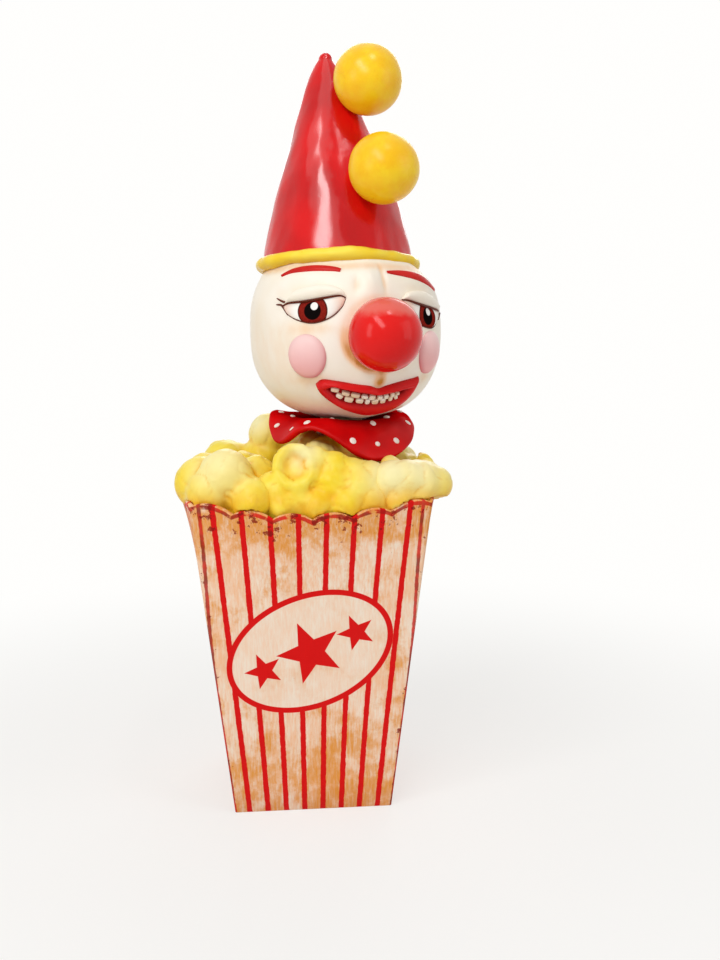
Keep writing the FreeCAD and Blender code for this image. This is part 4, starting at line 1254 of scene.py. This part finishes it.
# %% [markdown]
# The cheeks are low, pink domes with a darker rim, and a painted highlight in paler pink towards the top. A squashed
# ball would stand off the face at its edge, so each dome is drawn ring by ring on the carved head, and its outermost
# ring is sunk into it.

# %% Cheeks
CHEEK_RADIUS, CHEEK_HEIGHT, CHEEK_TALL = 11.6, 3.8, 1.08
CHEEK_SHARES = np.array([1.0, 0.99, 0.97, 0.94, 0.88, 0.8, 0.7, 0.58, 0.45, 0.3, 0.15])
cheek_pink, n, shader, skin = new_finish("cheek pink", (0.3, 0.45), 0.25, 0.15, 0.15)
rosy = n.mix(n.tagged("rim"), rgb(0.90, 0.46, 0.46), rgb(0.72, 0.20, 0.24))
# Painted highlight: paler pink where the top tag is high.
n.put(shader.inputs["Base Color"], n.mix(n.math("MULTIPLY", n.tagged("top"), 0.7), rosy, rgb(0.92, 0.72, 0.68)))


def spot_on_face(azimuth, elevation, right, up, stand):
    """Point of the face that lies right and up of a spot, in millimetres along the surface."""
    far = head_reach(elevation)
    e = elevation + np.degrees(up / far)
    a = azimuth + np.degrees(right / (far * np.cos(np.radians(elevation))))
    return on_face(a, e, stand)


angles = np.linspace(0, 2 * math.pi, 72, endpoint=False)
stands = CHEEK_HEIGHT * np.sqrt(np.maximum(1 - CHEEK_SHARES ** 2, 0))
stands[0] = -1.0
rim_shares = np.repeat(np.clip((CHEEK_SHARES - 0.72) / 0.28, 0, 1) ** 2, len(angles))
for side, azimuth, elevation in (("left", -40.2, -18.0), ("right", 41.0, -16.5)):
    rings = []
    for share, stand in zip(CHEEK_SHARES, stands):
        right, up = CHEEK_RADIUS * share * np.cos(angles), CHEEK_RADIUS * share * np.sin(angles) * CHEEK_TALL
        rings.append(spot_on_face(azimuth, elevation, right, up, stand))
    mesh = closed_skin("cheek_dome_" + side, rings)
    tag(mesh, "rim", np.append(rim_shares, (1.0, 0.0)))
    heights = points_of(mesh)[:, 2]
    # Height on the dome, which places the painted highlight.
    tag(mesh, "top", np.clip((heights - heights.mean()) / CHEEK_RADIUS * 0.7 + 0.35, 0, 1))
    finished("cheek_dome_" + side, mesh, cheek_pink, "head", "cheek_pink", "cheek_" + side)
    print("cheek", side, len(mesh.polygons), "faces")

# %% [markdown]
# ## Eyes
# Eyes, lids, brows and mouth are laid on the curved face. They could be flat shapes that are shrink-wrapped on to it,
# but lines through places on the face in degrees follow the carved head exactly. Two such lines bound a crowned patch,
# and one line carries a brush stroke.

# %% Lines, patches and strokes on the face


def curve(knots, count):
    """Smooth line through (azimuth, elevation) points, evenly divided."""
    knots = np.asarray(knots, float)
    ends = np.vstack([2 * knots[0] - knots[1], knots, 2 * knots[-1] - knots[-2]])
    dense = []
    for k in range(1, len(ends) - 2):
        a, b, c, d = ends[k - 1:k + 3]
        bend, twist = 2 * a - 5 * b + 4 * c - d, 3 * b - a - 3 * c + d
        for t in np.linspace(0, 1, 40, endpoint=False):
            dense.append(0.5 * (2 * b + (c - a) * t + bend * t ** 2 + twist * t ** 3))
    dense = np.array(dense + [knots[-1]])
    steps = np.append(0, np.cumsum(np.linalg.norm(np.diff(dense, axis=0), axis=1)))
    even = np.linspace(0, steps[-1], count)
    return np.stack([np.interp(even, steps, dense[:, 0]), np.interp(even, steps, dense[:, 1])], -1)


def patch_mesh(name, lower, upper, height, base=-0.3, rows=15, columns=49, sink=-1.2):
    """Crowned patch between two lines on the face, closed behind; returns the mesh and each point's place."""
    low, high = curve(lower, columns), curve(upper, columns)
    s = np.linspace(0, 1, columns)
    front, spots = [], []
    for t in np.linspace(0, 1, rows):
        place = low * (1 - t) + high * t
        crown = (4 * t * (1 - t)) ** 0.5 * np.clip(4 * s * (1 - s) * 2.5, 0, 1) ** 0.5
        front.append(on_face(place[:, 0], place[:, 1], base + height * crown))
        spots.append(place)
    behind = [on_face(place[:, 0], place[:, 1], sink) for place in spots]
    points = np.concatenate([np.array(front).reshape(-1, 3), np.array(behind).reshape(-1, 3)])
    faces = quads(rows, columns, False)
    back = rows * columns
    faces += [tuple(back + v for v in reversed(face)) for face in faces]
    border = [(0, c) for c in range(columns)] + [(r, columns - 1) for r in range(1, rows)]
    border += [(rows - 1, c) for c in range(columns - 2, -1, -1)] + [(r, 0) for r in range(rows - 2, 0, -1)]
    ids = [r * columns + c for r, c in border]
    faces += [(a, b, b + back, a + back) for a, b in zip(ids, ids[1:] + ids[:1])]
    return to_mesh(name, points, faces), np.concatenate([np.array(spots).reshape(-1, 2)] * 2)


def stroke_mesh(name, path, widths, height, around=10):
    """Brush stroke that follows a line on the face, with its own width at each step."""
    count = len(path)
    spine = on_face(path[:, 0], path[:, 1])
    out = facing(path[:, 0], path[:, 1])
    along = np.gradient(spine, axis=0)
    along /= np.linalg.norm(along, axis=1)[:, None]
    side = np.cross(along, out)
    rings = []
    for k in range(count):
        wide, tall = side[k] * widths[k] / 2, out[k] * height * min(1, widths[k])
        angles = np.linspace(0, 2 * math.pi, around, endpoint=False)
        rings.append([spine[k] + wide * math.cos(a) + tall * math.sin(a) for a in angles])
    return closed_skin(name, rings)


# %% [markdown]
# Each eye is a low almond between two lid lines, with a painted iris that the flat upper lid cuts off. Each point of
# the almond knows how far it lies right of and above the middle of the iris, so iris, pupil and glint are plain
# circles.

# %% Eye paint
eye_paint, n, shader, skin = new_finish("eye paint", (0.3, 0.4), 0.0, 0.1, 0.05)
right, up = n.tagged("iris_right"), n.tagged("iris_up")
radius = n.hypot(right, up)
ball = n.mix(n.fade(radius, 10.0, 19.0), rgb(0.93, 0.90, 0.84), rgb(0.86, 0.62, 0.50))
rays = n.cloud(n.place(), 0.9, 3.0)
iris = n.mix(rays, rgb(0.11, 0.006, 0.005), rgb(0.36, 0.026, 0.016))
iris = n.mix(n.fade(radius, 7.6, 8.8), iris, rgb(0.06, 0.006, 0.004))
colour = n.mix(n.fade(radius, 9.1, 8.7), ball, iris)
colour = n.mix(n.fade(radius, 5.2, 4.8), colour, rgb(0.006, 0.004, 0.004))
glint = n.hypot(n.math("SUBTRACT", right, 1.0), n.math("SUBTRACT", up, 2.6))
n.put(shader.inputs["Base Color"], n.mix(n.fade(glint, 2.4, 2.0), colour, rgb(0.95, 0.92, 0.88)))
LASH_DEEP, LASH_BRIGHT, LASH_SHADE = rgb(0.10, 0.016, 0.008), rgb(0.16, 0.028, 0.012), rgb(0.03, 0.006, 0.004)
lash_brown = varnished("lash brown", LASH_DEEP, LASH_BRIGHT, LASH_SHADE, dents=0.1)
brow_red = varnished("brow red", rgb(0.50, 0.012, 0.010), rgb(0.62, 0.016, 0.012), RED_SHADE, dents=0.15)
print("eye paint", len(n.tree.nodes), "nodes")

# %% Lines of the eyes and brows
eyes = {
    "left": {
        "iris": (-36.2, 6.6),
        "upper": ((-55.5, 9.6), (-50.6, 11.1), (-40.6, 12.0), (-29.1, 13.6), (-20.8, 14.6), (-17.3, 13.4)),
        "lower": ((-55.5, 9.2), (-52.5, 5.0), (-45.0, 1.4), (-35.6, 0.0), (-25.9, 3.0), (-19.7, 8.3), (-17.3, 13.0)),
        "lid": ((-53.0, 12.0), (-47.2, 18.0), (-39.3, 20.2), (-28.5, 21.2), (-20.0, 18.4), (-17.0, 14.4)),
        "tails": (((-60.6, 13.8), (-55.8, 12.0), (-50.2, 11.1), (-46.0, 11.5)),
                  ((-60.6, 10.4), (-57.0, 10.0), (-54.6, 7.8), (-52.0, 4.6))),
        "brow_width": 4.1,
        "brow": ((-61.2, 27.1), (-53.6, 29.9), (-43.4, 31.1), (-33.5, 31.2), (-24.8, 30.6), (-20.6, 29.7)),
    },
    "right": {
        "iris": (37.6, 3.7),
        "upper": ((16.3, 12.6), (21.2, 12.1), (26.9, 11.0), (36.1, 9.6), (46.0, 8.2), (55.0, 6.8)),
        "lower": ((16.3, 12.0), (19.5, 6.0), (26.0, 0.2), (35.0, -2.4), (43.5, -2.9), (51.0, 0.6), (55.0, 6.2)),
        "lid": ((16.6, 13.4), (22.0, 17.2), (32.7, 18.0), (43.4, 15.4), (50.5, 11.4), (54.5, 8.0)),
        "tails": (((60.0, 10.0), (56.0, 8.4), (50.6, 7.9)), ((59.6, 6.0), (56.5, 4.2), (53.5, 2.0))),
        "brow_width": 4.7,
        "brow": ((9.8, 28.9), (20.0, 28.3), (31.8, 26.6), (43.5, 23.9), (56.0, 19.9)),
    },
}
print("eyes", list(eyes))

# %% [markdown]
# The puffed upper lid is a second patch above the almond, in the face's own white. Lash lines and brows are strokes
# that swell and thin out as a brush does. The strokes of one eye are joined into one piece.

# %% Eyes, lids, lashes and brows
EYE_CROWN, LID_CROWN = 1.9, 3.3


def swelling(thin, wide, start, end, count):
    """Widths along a stroke, which swell and thin out again."""
    return thin + wide * np.sin(np.linspace(start, end, count))


def joined(name, meshes):
    """One mesh of several, which are then removed."""
    work = bmesh.new()
    for mesh in meshes:
        work.from_mesh(mesh)
        bpy.data.meshes.remove(mesh)
    made = bpy.data.meshes.new(name)
    work.to_mesh(made)
    work.free()
    return made


for side, eye in eyes.items():
    mesh, spots = patch_mesh("eye_ball_" + side, eye["lower"], eye["upper"], EYE_CROWN)
    turn, rise = eye["iris"]
    far = head_reach(rise)
    tag(mesh, "iris_right", np.radians(spots[:, 0] - turn) * far * math.cos(math.radians(rise)))
    tag(mesh, "iris_up", np.radians(spots[:, 1] - rise) * far)
    finished("eye_ball_" + side, mesh, eye_paint, "head", "eye_paint", "eye_" + side)
    mesh, spots = patch_mesh("eye_lid_" + side, eye["upper"], eye["lid"], LID_CROWN)
    tag(mesh, "wash", np.full(len(mesh.vertices), 0.02))
    finished("eye_lid_" + side, mesh, face_white, "head", "face_white", "eyelid_" + side)
    lashes = [
        stroke_mesh("lash", curve(eye["upper"], 40), swelling(0.5, 1.0, 0.25, math.pi - 0.15, 40), 1.9),
        stroke_mesh("lash", curve(eye["lower"], 40), swelling(0.3, 0.45, 0.2, math.pi - 0.2, 40), 0.55),
    ]
    lashes += [stroke_mesh("lash", curve(tail, 24), swelling(0.5, 0.9, 0.3, 2.6, 24), 0.9) for tail in eye["tails"]]
    finished("lashes_" + side, joined("lashes_" + side, lashes), lash_brown, "head", "eye_paint")
    widths = 0.5 + eye["brow_width"] * np.sin(np.linspace(0.15, math.pi - 0.45, 48)) ** 0.75
    mesh = stroke_mesh("brow_stroke_" + side, curve(eye["brow"], 48), widths, 0.9, 14)
    finished("brow_stroke_" + side, mesh, brow_red, "head", "red_varnish", "brow_" + side)
    print("eye", side, "with", len(lashes), "lash strokes")

# %% [markdown]
# ## Mouth
# The lips are one roll of pulp round a slot. A curve with a bevel would be equally thick all along, and these lips are
# not. So outer and inner outline are lines on the face, and the roll between them is highest near its middle. Behind
# the slot lies a dark red patch.

# %% Lips
LIP_TOP = ((-37.2, -33.4), (-32.5, -30.7), (-25.5, -31.4), (-12.3, -33.6), (-2.2, -34.8), (4.1, -36.4), (10.6, -34.6),
           (21.9, -32.2), (35.0, -30.0))
LIP_LOW = ((35.0, -30.0), (35.4, -38.0), (31.5, -48.0), (20.5, -55.6), (2.7, -58.6), (-16.6, -52.6), (-29.2, -44.0),
           (-35.8, -37.6), (-37.2, -33.4))
SLOT_TOP = ((-28.6, -35.4), (-23.0, -34.2), (-16.8, -35.8), (-7.2, -37.8), (3.2, -39.4), (12.9, -38.6), (21.8, -36.6),
            (24.6, -36.8))
SLOT_LOW = ((24.6, -36.8), (22.4, -39.8), (17.7, -43.0), (6.3, -45.6), (-5.5, -45.8), (-16.7, -44.2), (-22.8, -41.4),
            (-28.6, -35.4))
LIP_ROWS = (
    # share of the way in to the slot, height over the face, how deep the shade is
    (0.0, -1.0, 0.5), (0.02, 0.5, 0.3), (0.1, 2.0, 0.05), (0.25, 3.4, 0.0), (0.42, 4.2, 0.0), (0.6, 4.2, 0.0),
    (0.78, 3.4, 0.1), (0.92, 2.0, 0.4), (1.0, 0.4, 0.9), (1.0, -1.2, 1.0),
)
lip_red = varnished("lip red", rgb(0.58, 0.008, 0.010), rgb(0.70, 0.014, 0.014), RED_SHADE, grain=0.15, dents=0.15)
outer = np.vstack([curve(LIP_TOP, 81)[:-1], curve(LIP_LOW, 81)[:-1]])
inner = np.vstack([curve(SLOT_TOP, 81)[:-1], curve(SLOT_LOW, 81)[:-1]])
rows = []
for share, stand, shade in LIP_ROWS:
    place = outer * (1 - share) + inner * share
    rows.append(on_face(place[:, 0], place[:, 1], stand))
mesh = ring_skin("lip_roll", rows)
tag(mesh, "hollow", np.repeat([shade for share, stand, shade in LIP_ROWS], len(outer)))
finished("lip_roll", mesh, lip_red, "head", "red_varnish", "lips")
print("lips", len(mesh.polygons), "faces")

# %% Back of the mouth
MOUTH_DEEP, MOUTH_BRIGHT, MOUTH_SHADE = rgb(0.24, 0.003, 0.004), rgb(0.34, 0.004, 0.005), rgb(0.10, 0.002, 0.002)
mouth_dark = varnished("mouth dark", MOUTH_DEEP, MOUTH_BRIGHT, MOUTH_SHADE, dents=0.1, shine=0.03)
mesh, spots = patch_mesh("mouth_back", SLOT_LOW[::-1], SLOT_TOP, 0.5, base=0.7)
finished("mouth_back", mesh, mouth_dark, "head", "red_varnish")
print("back of the mouth", len(mesh.polygons), "faces")

# %% [markdown]
# Two rows of small, uneven teeth stand in the slot. They repeat, so a tree of nodes sets one softened block on a point
# for each tooth. A point carries the direction of the face, the run of the row and how wide its tooth is, and dice with
# a fixed seed vary the rest.

# %% One tooth
TOOTH_DEEP, TOOTH_BRIGHT, TOOTH_SHADE = rgb(0.82, 0.60, 0.42), rgb(0.93, 0.86, 0.80), rgb(0.6, 0.3, 0.2)
tooth_cream = varnished("tooth cream", TOOTH_DEEP, TOOTH_BRIGHT, TOOTH_SHADE, grain=0.5, dents=0.15)
tooth_sizes = {"Width": 0.0046, "Tall": 0.0032, "Deep": 0.003, "Seed": 9, "Finish": tooth_cream}
tooth_tree, n, have, give = new_shape_tree("Teeth", tooth_sizes)
size = n.add("ShaderNodeCombineXYZ", {"X": have["Width"], "Y": have["Tall"], "Z": have["Deep"]}).outputs[0]
block = n.add("GeometryNodeMeshCube", {"Size": size, "Vertices X": 3, "Vertices Y": 3, "Vertices Z": 3})
soft = n.add("GeometryNodeSubdivisionSurface", {"Mesh": block.outputs["Mesh"], "Level": 2})
axes = {0: vector_tag(n, "outward"), 1: vector_tag(n, "along")}
turn = n.add("FunctionNodeAxesToRotation", axes, primary_axis="Z", secondary_axis="X")
varied = random_scale(n, (0.92, 0.75, 0.9), (1.08, 1.25, 1.1), have["Seed"])
sizes = n.add("ShaderNodeVectorMath", {0: varied, 1: vector_tag(n, "bulk")}, operation="MULTIPLY").outputs[0]
on = {"Points": have["Geometry"], "Instance": soft.outputs[0], "Rotation": turn.outputs[0], "Scale": sizes}
ended(n, give, n.add("GeometryNodeInstanceOnPoints", on).outputs[0], have["Finish"])
print("tooth", [1000 * tooth_sizes[label] for label in ("Width", "Tall", "Deep")], "mm")

# %% Rows of teeth
# Share of the way along the slot, and width against the usual one
TOP_TEETH = ((0.09, 1.0), (0.22, 1.05), (0.34, 1.1), (0.46, 0.9), (0.565, 0.75), (0.66, 0.7), (0.745, 0.6),
             (0.82, 0.55), (0.89, 0.5))
LOW_TEETH = ((0.15, 0.85), (0.28, 1.2), (0.41, 0.95), (0.515, 0.6), (0.61, 0.85), (0.71, 0.75), (0.80, 0.6),
             (0.88, 0.5))
TOP_ROW, LOW_ROW, TOOTH_STAND = 0.32, 0.74, 1.5
gum_top, gum_low = curve(SLOT_TOP, 61), curve(SLOT_LOW[::-1], 61)
places, directions, alongs, bulks = [], [], [], []
for share, teeth in ((TOP_ROW, TOP_TEETH), (LOW_ROW, LOW_TEETH)):
    line = gum_top * (1 - share) + gum_low * share
    spine = on_face(line[:, 0], line[:, 1], TOOTH_STAND)
    for mark, wide in teeth:
        k = int(mark * 60)
        places.append(spine[k])
        directions.append(facing(line[k, 0], line[k, 1]))
        step = spine[min(k + 2, 60)] - spine[k - 2]
        alongs.append(step / np.linalg.norm(step))
        bulks.append((wide, 1.0, 1.0))
spots = spots_mesh("tooth places", places, directions, along=alongs, bulk=bulks)
mesh = grown("teeth_rows", tooth_tree, tooth_sizes, spots)
finished("teeth_rows", mesh, tooth_cream, "head", "tooth", "teeth")
print("teeth", len(places))

# %% [markdown]
# ## Hat
# The hat is a leaning cone that was modelled by hand. Blender's own cone is too straight, so its rings follow the CAD's
# rule, which swells below and bends over at the tip. Broad dents make the varnish catch the light unevenly.

# %% Hat cone
HAT_FOOT = HEAD_MIDDLE + np.array([-4.1, 0.0, 31.0])
HAT_RADIUS, HAT_HEIGHT, HAT_LEAN, HAT_TILT = 45.4, 131.0, 8.8, math.radians(-5.0)
HAT_SWELL, HAT_ROUND, HAT_TIP = 1.26, 0.765, 4.0
tilt = np.array(Matrix.Rotation(HAT_TILT, 3, "X"))


def hat_ring(height):
    """Radius of the hat at a height over its foot, and how far it leans to the left there."""
    share = np.clip(height / HAT_HEIGHT, 0, 1)
    left = HAT_HEIGHT - height
    tip = math.sqrt(max(2 * HAT_TIP * left - left ** 2, 0.0))
    back = np.clip((share - 0.84) / 0.16, 0, 1) ** 2 * 3.2
    return max(HAT_RADIUS * (1 - share ** HAT_SWELL) ** HAT_ROUND, tip), HAT_LEAN * share ** 3 - back


def seated(points):
    """Lean the hat back about the middle of the head."""
    return (np.asarray(points) - HEAD_MIDDLE) @ tilt.T + HEAD_MIDDLE


def hat_circle(lean, radius, height, angles):
    """Points round the hat, before it is leaned back."""
    x, y = HAT_FOOT[0] - lean + radius * np.sin(angles), HAT_FOOT[1] - radius * np.cos(angles)
    return np.stack([x, y, HAT_FOOT[2] + height + 0 * angles], -1)


angles = np.linspace(0, 2 * math.pi, 180, endpoint=False)
rings = []
for height in HAT_HEIGHT * (1 - (1 - np.linspace(0, 1, 96)[:-1]) ** 1.35):
    radius, lean = hat_ring(height)
    rings.append(hat_circle(lean, radius, height, angles))
mesh = closed_skin("hat_cone", seated(rings))
points = points_of(mesh)
dents = bumps(points * (1, 1, 0.6), 26.0, 1.7, 4.0) + bumps(points * (1, 1, 0.5), 9.0, 0.45, 6.0)
dents *= np.clip((points[:, 2] - HAT_FOOT[2]) / 12, 0, 1) * np.clip((452 - points[:, 2]) / 20, 0, 1)
move_points(mesh, points + normals_of(mesh) * dents[:, None])
# How hollow each dent is, which the varnish turns into painted shade.
tag(mesh, "hollow", hollows(mesh, 30, 1.5))
print("hat", len(mesh.polygons), "faces")

# %% [markdown]
# A thick run of varnish lies down the front of the hat and wanders to the left on its way. A tag says how near a point
# is to it, noise frays its edge, and a clear coat on the shader makes it shine.

# %% Hat finish
RUN_WANDER, RUN_HALF = 22.0, 17.0  # degrees round the hat
outward = normals_of(mesh)
turn = np.degrees(np.arctan2(outward[:, 0], -outward[:, 1]))
up = np.clip((points[:, 2] - HAT_FOOT[2]) / HAT_HEIGHT, 0, 1)
tag(mesh, "run", np.exp(-((turn + RUN_WANDER * np.sin(math.pi * up)) / RUN_HALF) ** 2))
hat_red = varnished("hat red", RED_DEEP, RED_BRIGHT, RED_SHADE, 0.14, 0.4, 0.26, (0.14, 0.22))
n, coat = coated(hat_red, 0.16)
ragged = n.math("MULTIPLY_ADD", n.cloud(n.place(), 0.2, 4.0, 0.7), 0.6, n.tagged("run"))
n.put(coat, n.fade(ragged, 0.68, 0.98))
finished("hat_cone", mesh, hat_red, "head", "red_varnish", "hat")
print("hat finish", len(n.tree.nodes), "nodes")

# %% [markdown]
# The band is a roll of yellow pulp round the foot of the hat. A torus would be too even: here the radius of the roll
# and the height of its middle wander a little on the way round.

# %% Hat band
BAND_RISE, BAND_ROLL, BAND_STAND = 3.5, 4.0, 0.6
radius, lean = hat_ring(BAND_RISE)
around = np.linspace(0, 2 * math.pi, 240, endpoint=False)
wander = 0.35 * np.sin(3 * around + 1.0) + 0.25 * np.sin(7 * around)
roll = BAND_ROLL * (1 + 0.06 * np.sin(5 * around + 2.0) + 0.05 * np.sin(11 * around))
rings = []
for a in np.linspace(0, 2 * math.pi, 28, endpoint=False):
    far = radius + BAND_STAND + roll * math.cos(a)
    rings.append(hat_circle(lean, far, BAND_RISE + wander + roll * math.sin(a), around))
mesh = ring_skin("band_roll", seated(rings))
points = points_of(mesh)
move_points(mesh, points + normals_of(mesh) * bumps(points, 7.0, 0.5, 8.0)[:, None])
# Painted shade: the underside of the roll, where it faces down, is darker orange.
tag(mesh, "hollow", np.clip((0.3 - normals_of(mesh)[:, 2]) * 0.5, 0, 0.5))
BAND_DEEP, BAND_BRIGHT, BAND_SHADE = rgb(0.92, 0.62, 0.015), rgb(0.95, 0.77, 0.09), rgb(0.62, 0.28, 0.01)
band_yellow = varnished("band yellow", BAND_DEEP, BAND_BRIGHT, BAND_SHADE)
finished("band_roll", mesh, band_yellow, "head", "yellow_paint", "hat_band")
print("band", len(mesh.polygons), "faces")

# %% [markdown]
# Two yellow balls are pinned to the right side of the hat and bedded in it a little. They are made as the nose is, each
# from its height on the hat and its direction.

# %% Hat balls
POMPOM_RADIUS, POMPOM_SINK = 20.0, 0.8
ball_yellow, n, shader, skin = new_finish("ball yellow", (0.24, 0.36), 0.30, 0.14, 0.2)
tint = n.cloud(n.place(), 0.09, 5.0, 0.6)
body = n.mix(n.fade(tint, 0.3, 0.72), rgb(0.92, 0.50, 0.003), rgb(0.95, 0.63, 0.012))
stain = n.group(brown_wash, scale=0.07, amount=0.3)["Mask"]
n.put(shader.inputs["Base Color"], n.mix(n.math("MULTIPLY", stain, 0.5), body, rgb(0.70, 0.32, 0.01)))
for name, rise, azimuth in (("upper", 107.5, 40.4), ("lower", 51.2, 26.1)):
    radius, lean = hat_ring(rise)
    out = np.array([math.sin(math.radians(azimuth)), -math.cos(math.radians(azimuth)), 0.0])
    middle = seated(HAT_FOOT + (-lean, 0, rise) + out * (radius + POMPOM_RADIUS - POMPOM_SINK))
    mesh = ball_mesh("hat_ball_" + name, middle, POMPOM_RADIUS, 0.5, rise)
    finished("hat_ball_" + name, mesh, ball_yellow, "head", "yellow_paint", "pompom_" + name)
    print("ball", name, middle.round(1))

# %% [markdown]
# ## Spring
# Inside the box a coil spring lifts the figure. Its wire follows a rule: a closed turn at each end and five open turns
# between them. A Screw modifier would give one even pitch, so a tree of nodes bends a line into the coil by its own
# length and sweeps a circle along it.

# %% Spring steel
steel = bpy.data.materials.new("spring steel")
steel.use_nodes = True
n = Nodes(steel.node_tree)
shader = n.tree.nodes["Principled BSDF"]
drawn = n.cloud(n.place(), 1.4, 3.0)
n.put(shader.inputs["Base Color"], n.mix(drawn, rgb(0.42, 0.42, 0.41), rgb(0.62, 0.61, 0.59)))
n.put(shader.inputs["Roughness"], n.fade(drawn, 0.2, 0.8, 0.24, 0.42))
shader.inputs["Metallic"].default_value = 1.0
print("finish", steel.name)

# %% Coil spring
CUP_TOP, PLATE_BOTTOM, TRAVEL = 9.0, 144.7, 22.0
WIRE, SPRING_RADIUS, ACTIVE_TURNS, END_PITCH, SEAT_GAP = 1.2, 17.0, 5, 3.0, 0.1
STEPS_A_TURN = 40
spring_start = CUP_TOP + SEAT_GAP + WIRE
spring_end = PLATE_BOTTOM - SEAT_GAP - WIRE
open_pitch = (spring_end - spring_start - 2 * END_PITCH) / ACTIVE_TURNS
spring_sizes = {"Turns": ACTIVE_TURNS + 2, "Radius": SPRING_RADIUS * MM, "Wire": WIRE * MM, "Foot": spring_start * MM,
                "End Pitch": END_PITCH * MM, "Open Pitch": open_pitch * MM, "Stem": STEM_X * MM, "Finish": steel}
spring_tree, n, have, give = new_shape_tree("Coil spring", spring_sizes)
line = n.add("GeometryNodeCurvePrimitiveLine")
fine = n.add("GeometryNodeResampleCurve", {"Curve": line.outputs[0], "Count": (ACTIVE_TURNS + 2) * STEPS_A_TURN + 1})
turn = n.math("MULTIPLY", n.add("GeometryNodeSplineParameter").outputs["Factor"], have["Turns"])
angle = n.math("MULTIPLY", turn, 2 * math.pi)
middle_turn = n.math("MINIMUM", n.math("MAXIMUM", n.math("SUBTRACT", turn, 1.0), 0.0), float(ACTIVE_TURNS))
last_turn = n.math("MAXIMUM", n.math("SUBTRACT", turn, float(ACTIVE_TURNS + 1)), 0.0)
climb = n.math("MULTIPLY_ADD", n.math("MINIMUM", turn, 1.0), have["End Pitch"], have["Foot"])
climb = n.math("MULTIPLY_ADD", middle_turn, have["Open Pitch"], climb)
climb = n.math("MULTIPLY_ADD", last_turn, have["End Pitch"], climb)
right = n.math("MULTIPLY_ADD", n.math("COSINE", angle), have["Radius"], have["Stem"])
behind = n.math("MULTIPLY", n.math("SINE", angle), have["Radius"])
spot = n.add("ShaderNodeCombineXYZ", {"X": right, "Y": behind, "Z": climb}).outputs[0]
bent = n.add("GeometryNodeSetPosition", {"Geometry": fine.outputs[0], "Position": spot})
circle = n.add("GeometryNodeCurvePrimitiveCircle", {"Resolution": 14, "Radius": have["Wire"]})
sweep = {"Curve": bent.outputs[0], "Profile Curve": circle.outputs[0], "Fill Caps": True}
wire = n.add("GeometryNodeCurveToMesh", sweep)
ended(n, give, wire.outputs[0], have["Finish"])
mesh = grown("coil_spring", spring_tree, spring_sizes)
spring = finished("coil_spring", mesh, steel, "box", "steel", "spring")
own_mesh(spring)
print("spring", len(mesh.polygons), "faces")

# %% [markdown]
# ## Wood and steel inside
# The floor, battens, cleats, guide board, stem and plugs are plain turned and sawn wood; the bush, screws and pins are
# steel. Their CAD shapes are right, so they stay and only get a finish. Wood grain could be a wave texture, but a
# stretched noise with a broader one under it looks less regular.

# %% Inside pieces
bare_wood = bpy.data.materials.new("bare wood")
bare_wood.use_nodes = True
n = Nodes(bare_wood.node_tree)
shader = n.tree.nodes["Principled BSDF"]
grain = n.cloud(n.place((0.05, 0.9, 0.9)), 0.5, 5.0, 0.6)
broad = n.cloud(n.place((0.2, 1, 1)), 0.03, 3.0)
tone = n.fade(n.math("MULTIPLY_ADD", grain, 0.7, n.math("MULTIPLY", broad, 0.5)), 0.4, 0.85)
n.put(shader.inputs["Base Color"], n.mix(tone, rgb(0.62, 0.42, 0.22), rgb(0.40, 0.23, 0.10)))
n.put(shader.inputs["Roughness"], n.fade(grain, 0.2, 0.8, 0.5, 0.7))
bump = n.add("ShaderNodeBump", {"Height": grain, "Strength": 0.2, "Distance": 0.0006})
n.put(shader.inputs["Normal"], bump.outputs[0])
STEEL_PIECES = ("guide_bush", "cup_screw", "plate_screw", "bust_pin", "pompom_pins")
for name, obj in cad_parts.items():
    if not obj.hide_render:
        obj.data.materials.clear()
        obj.data.materials.append(steel if name in STEEL_PIECES else bare_wood)
print("kept from the CAD", sorted(name for name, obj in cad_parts.items() if not obj.hide_render))
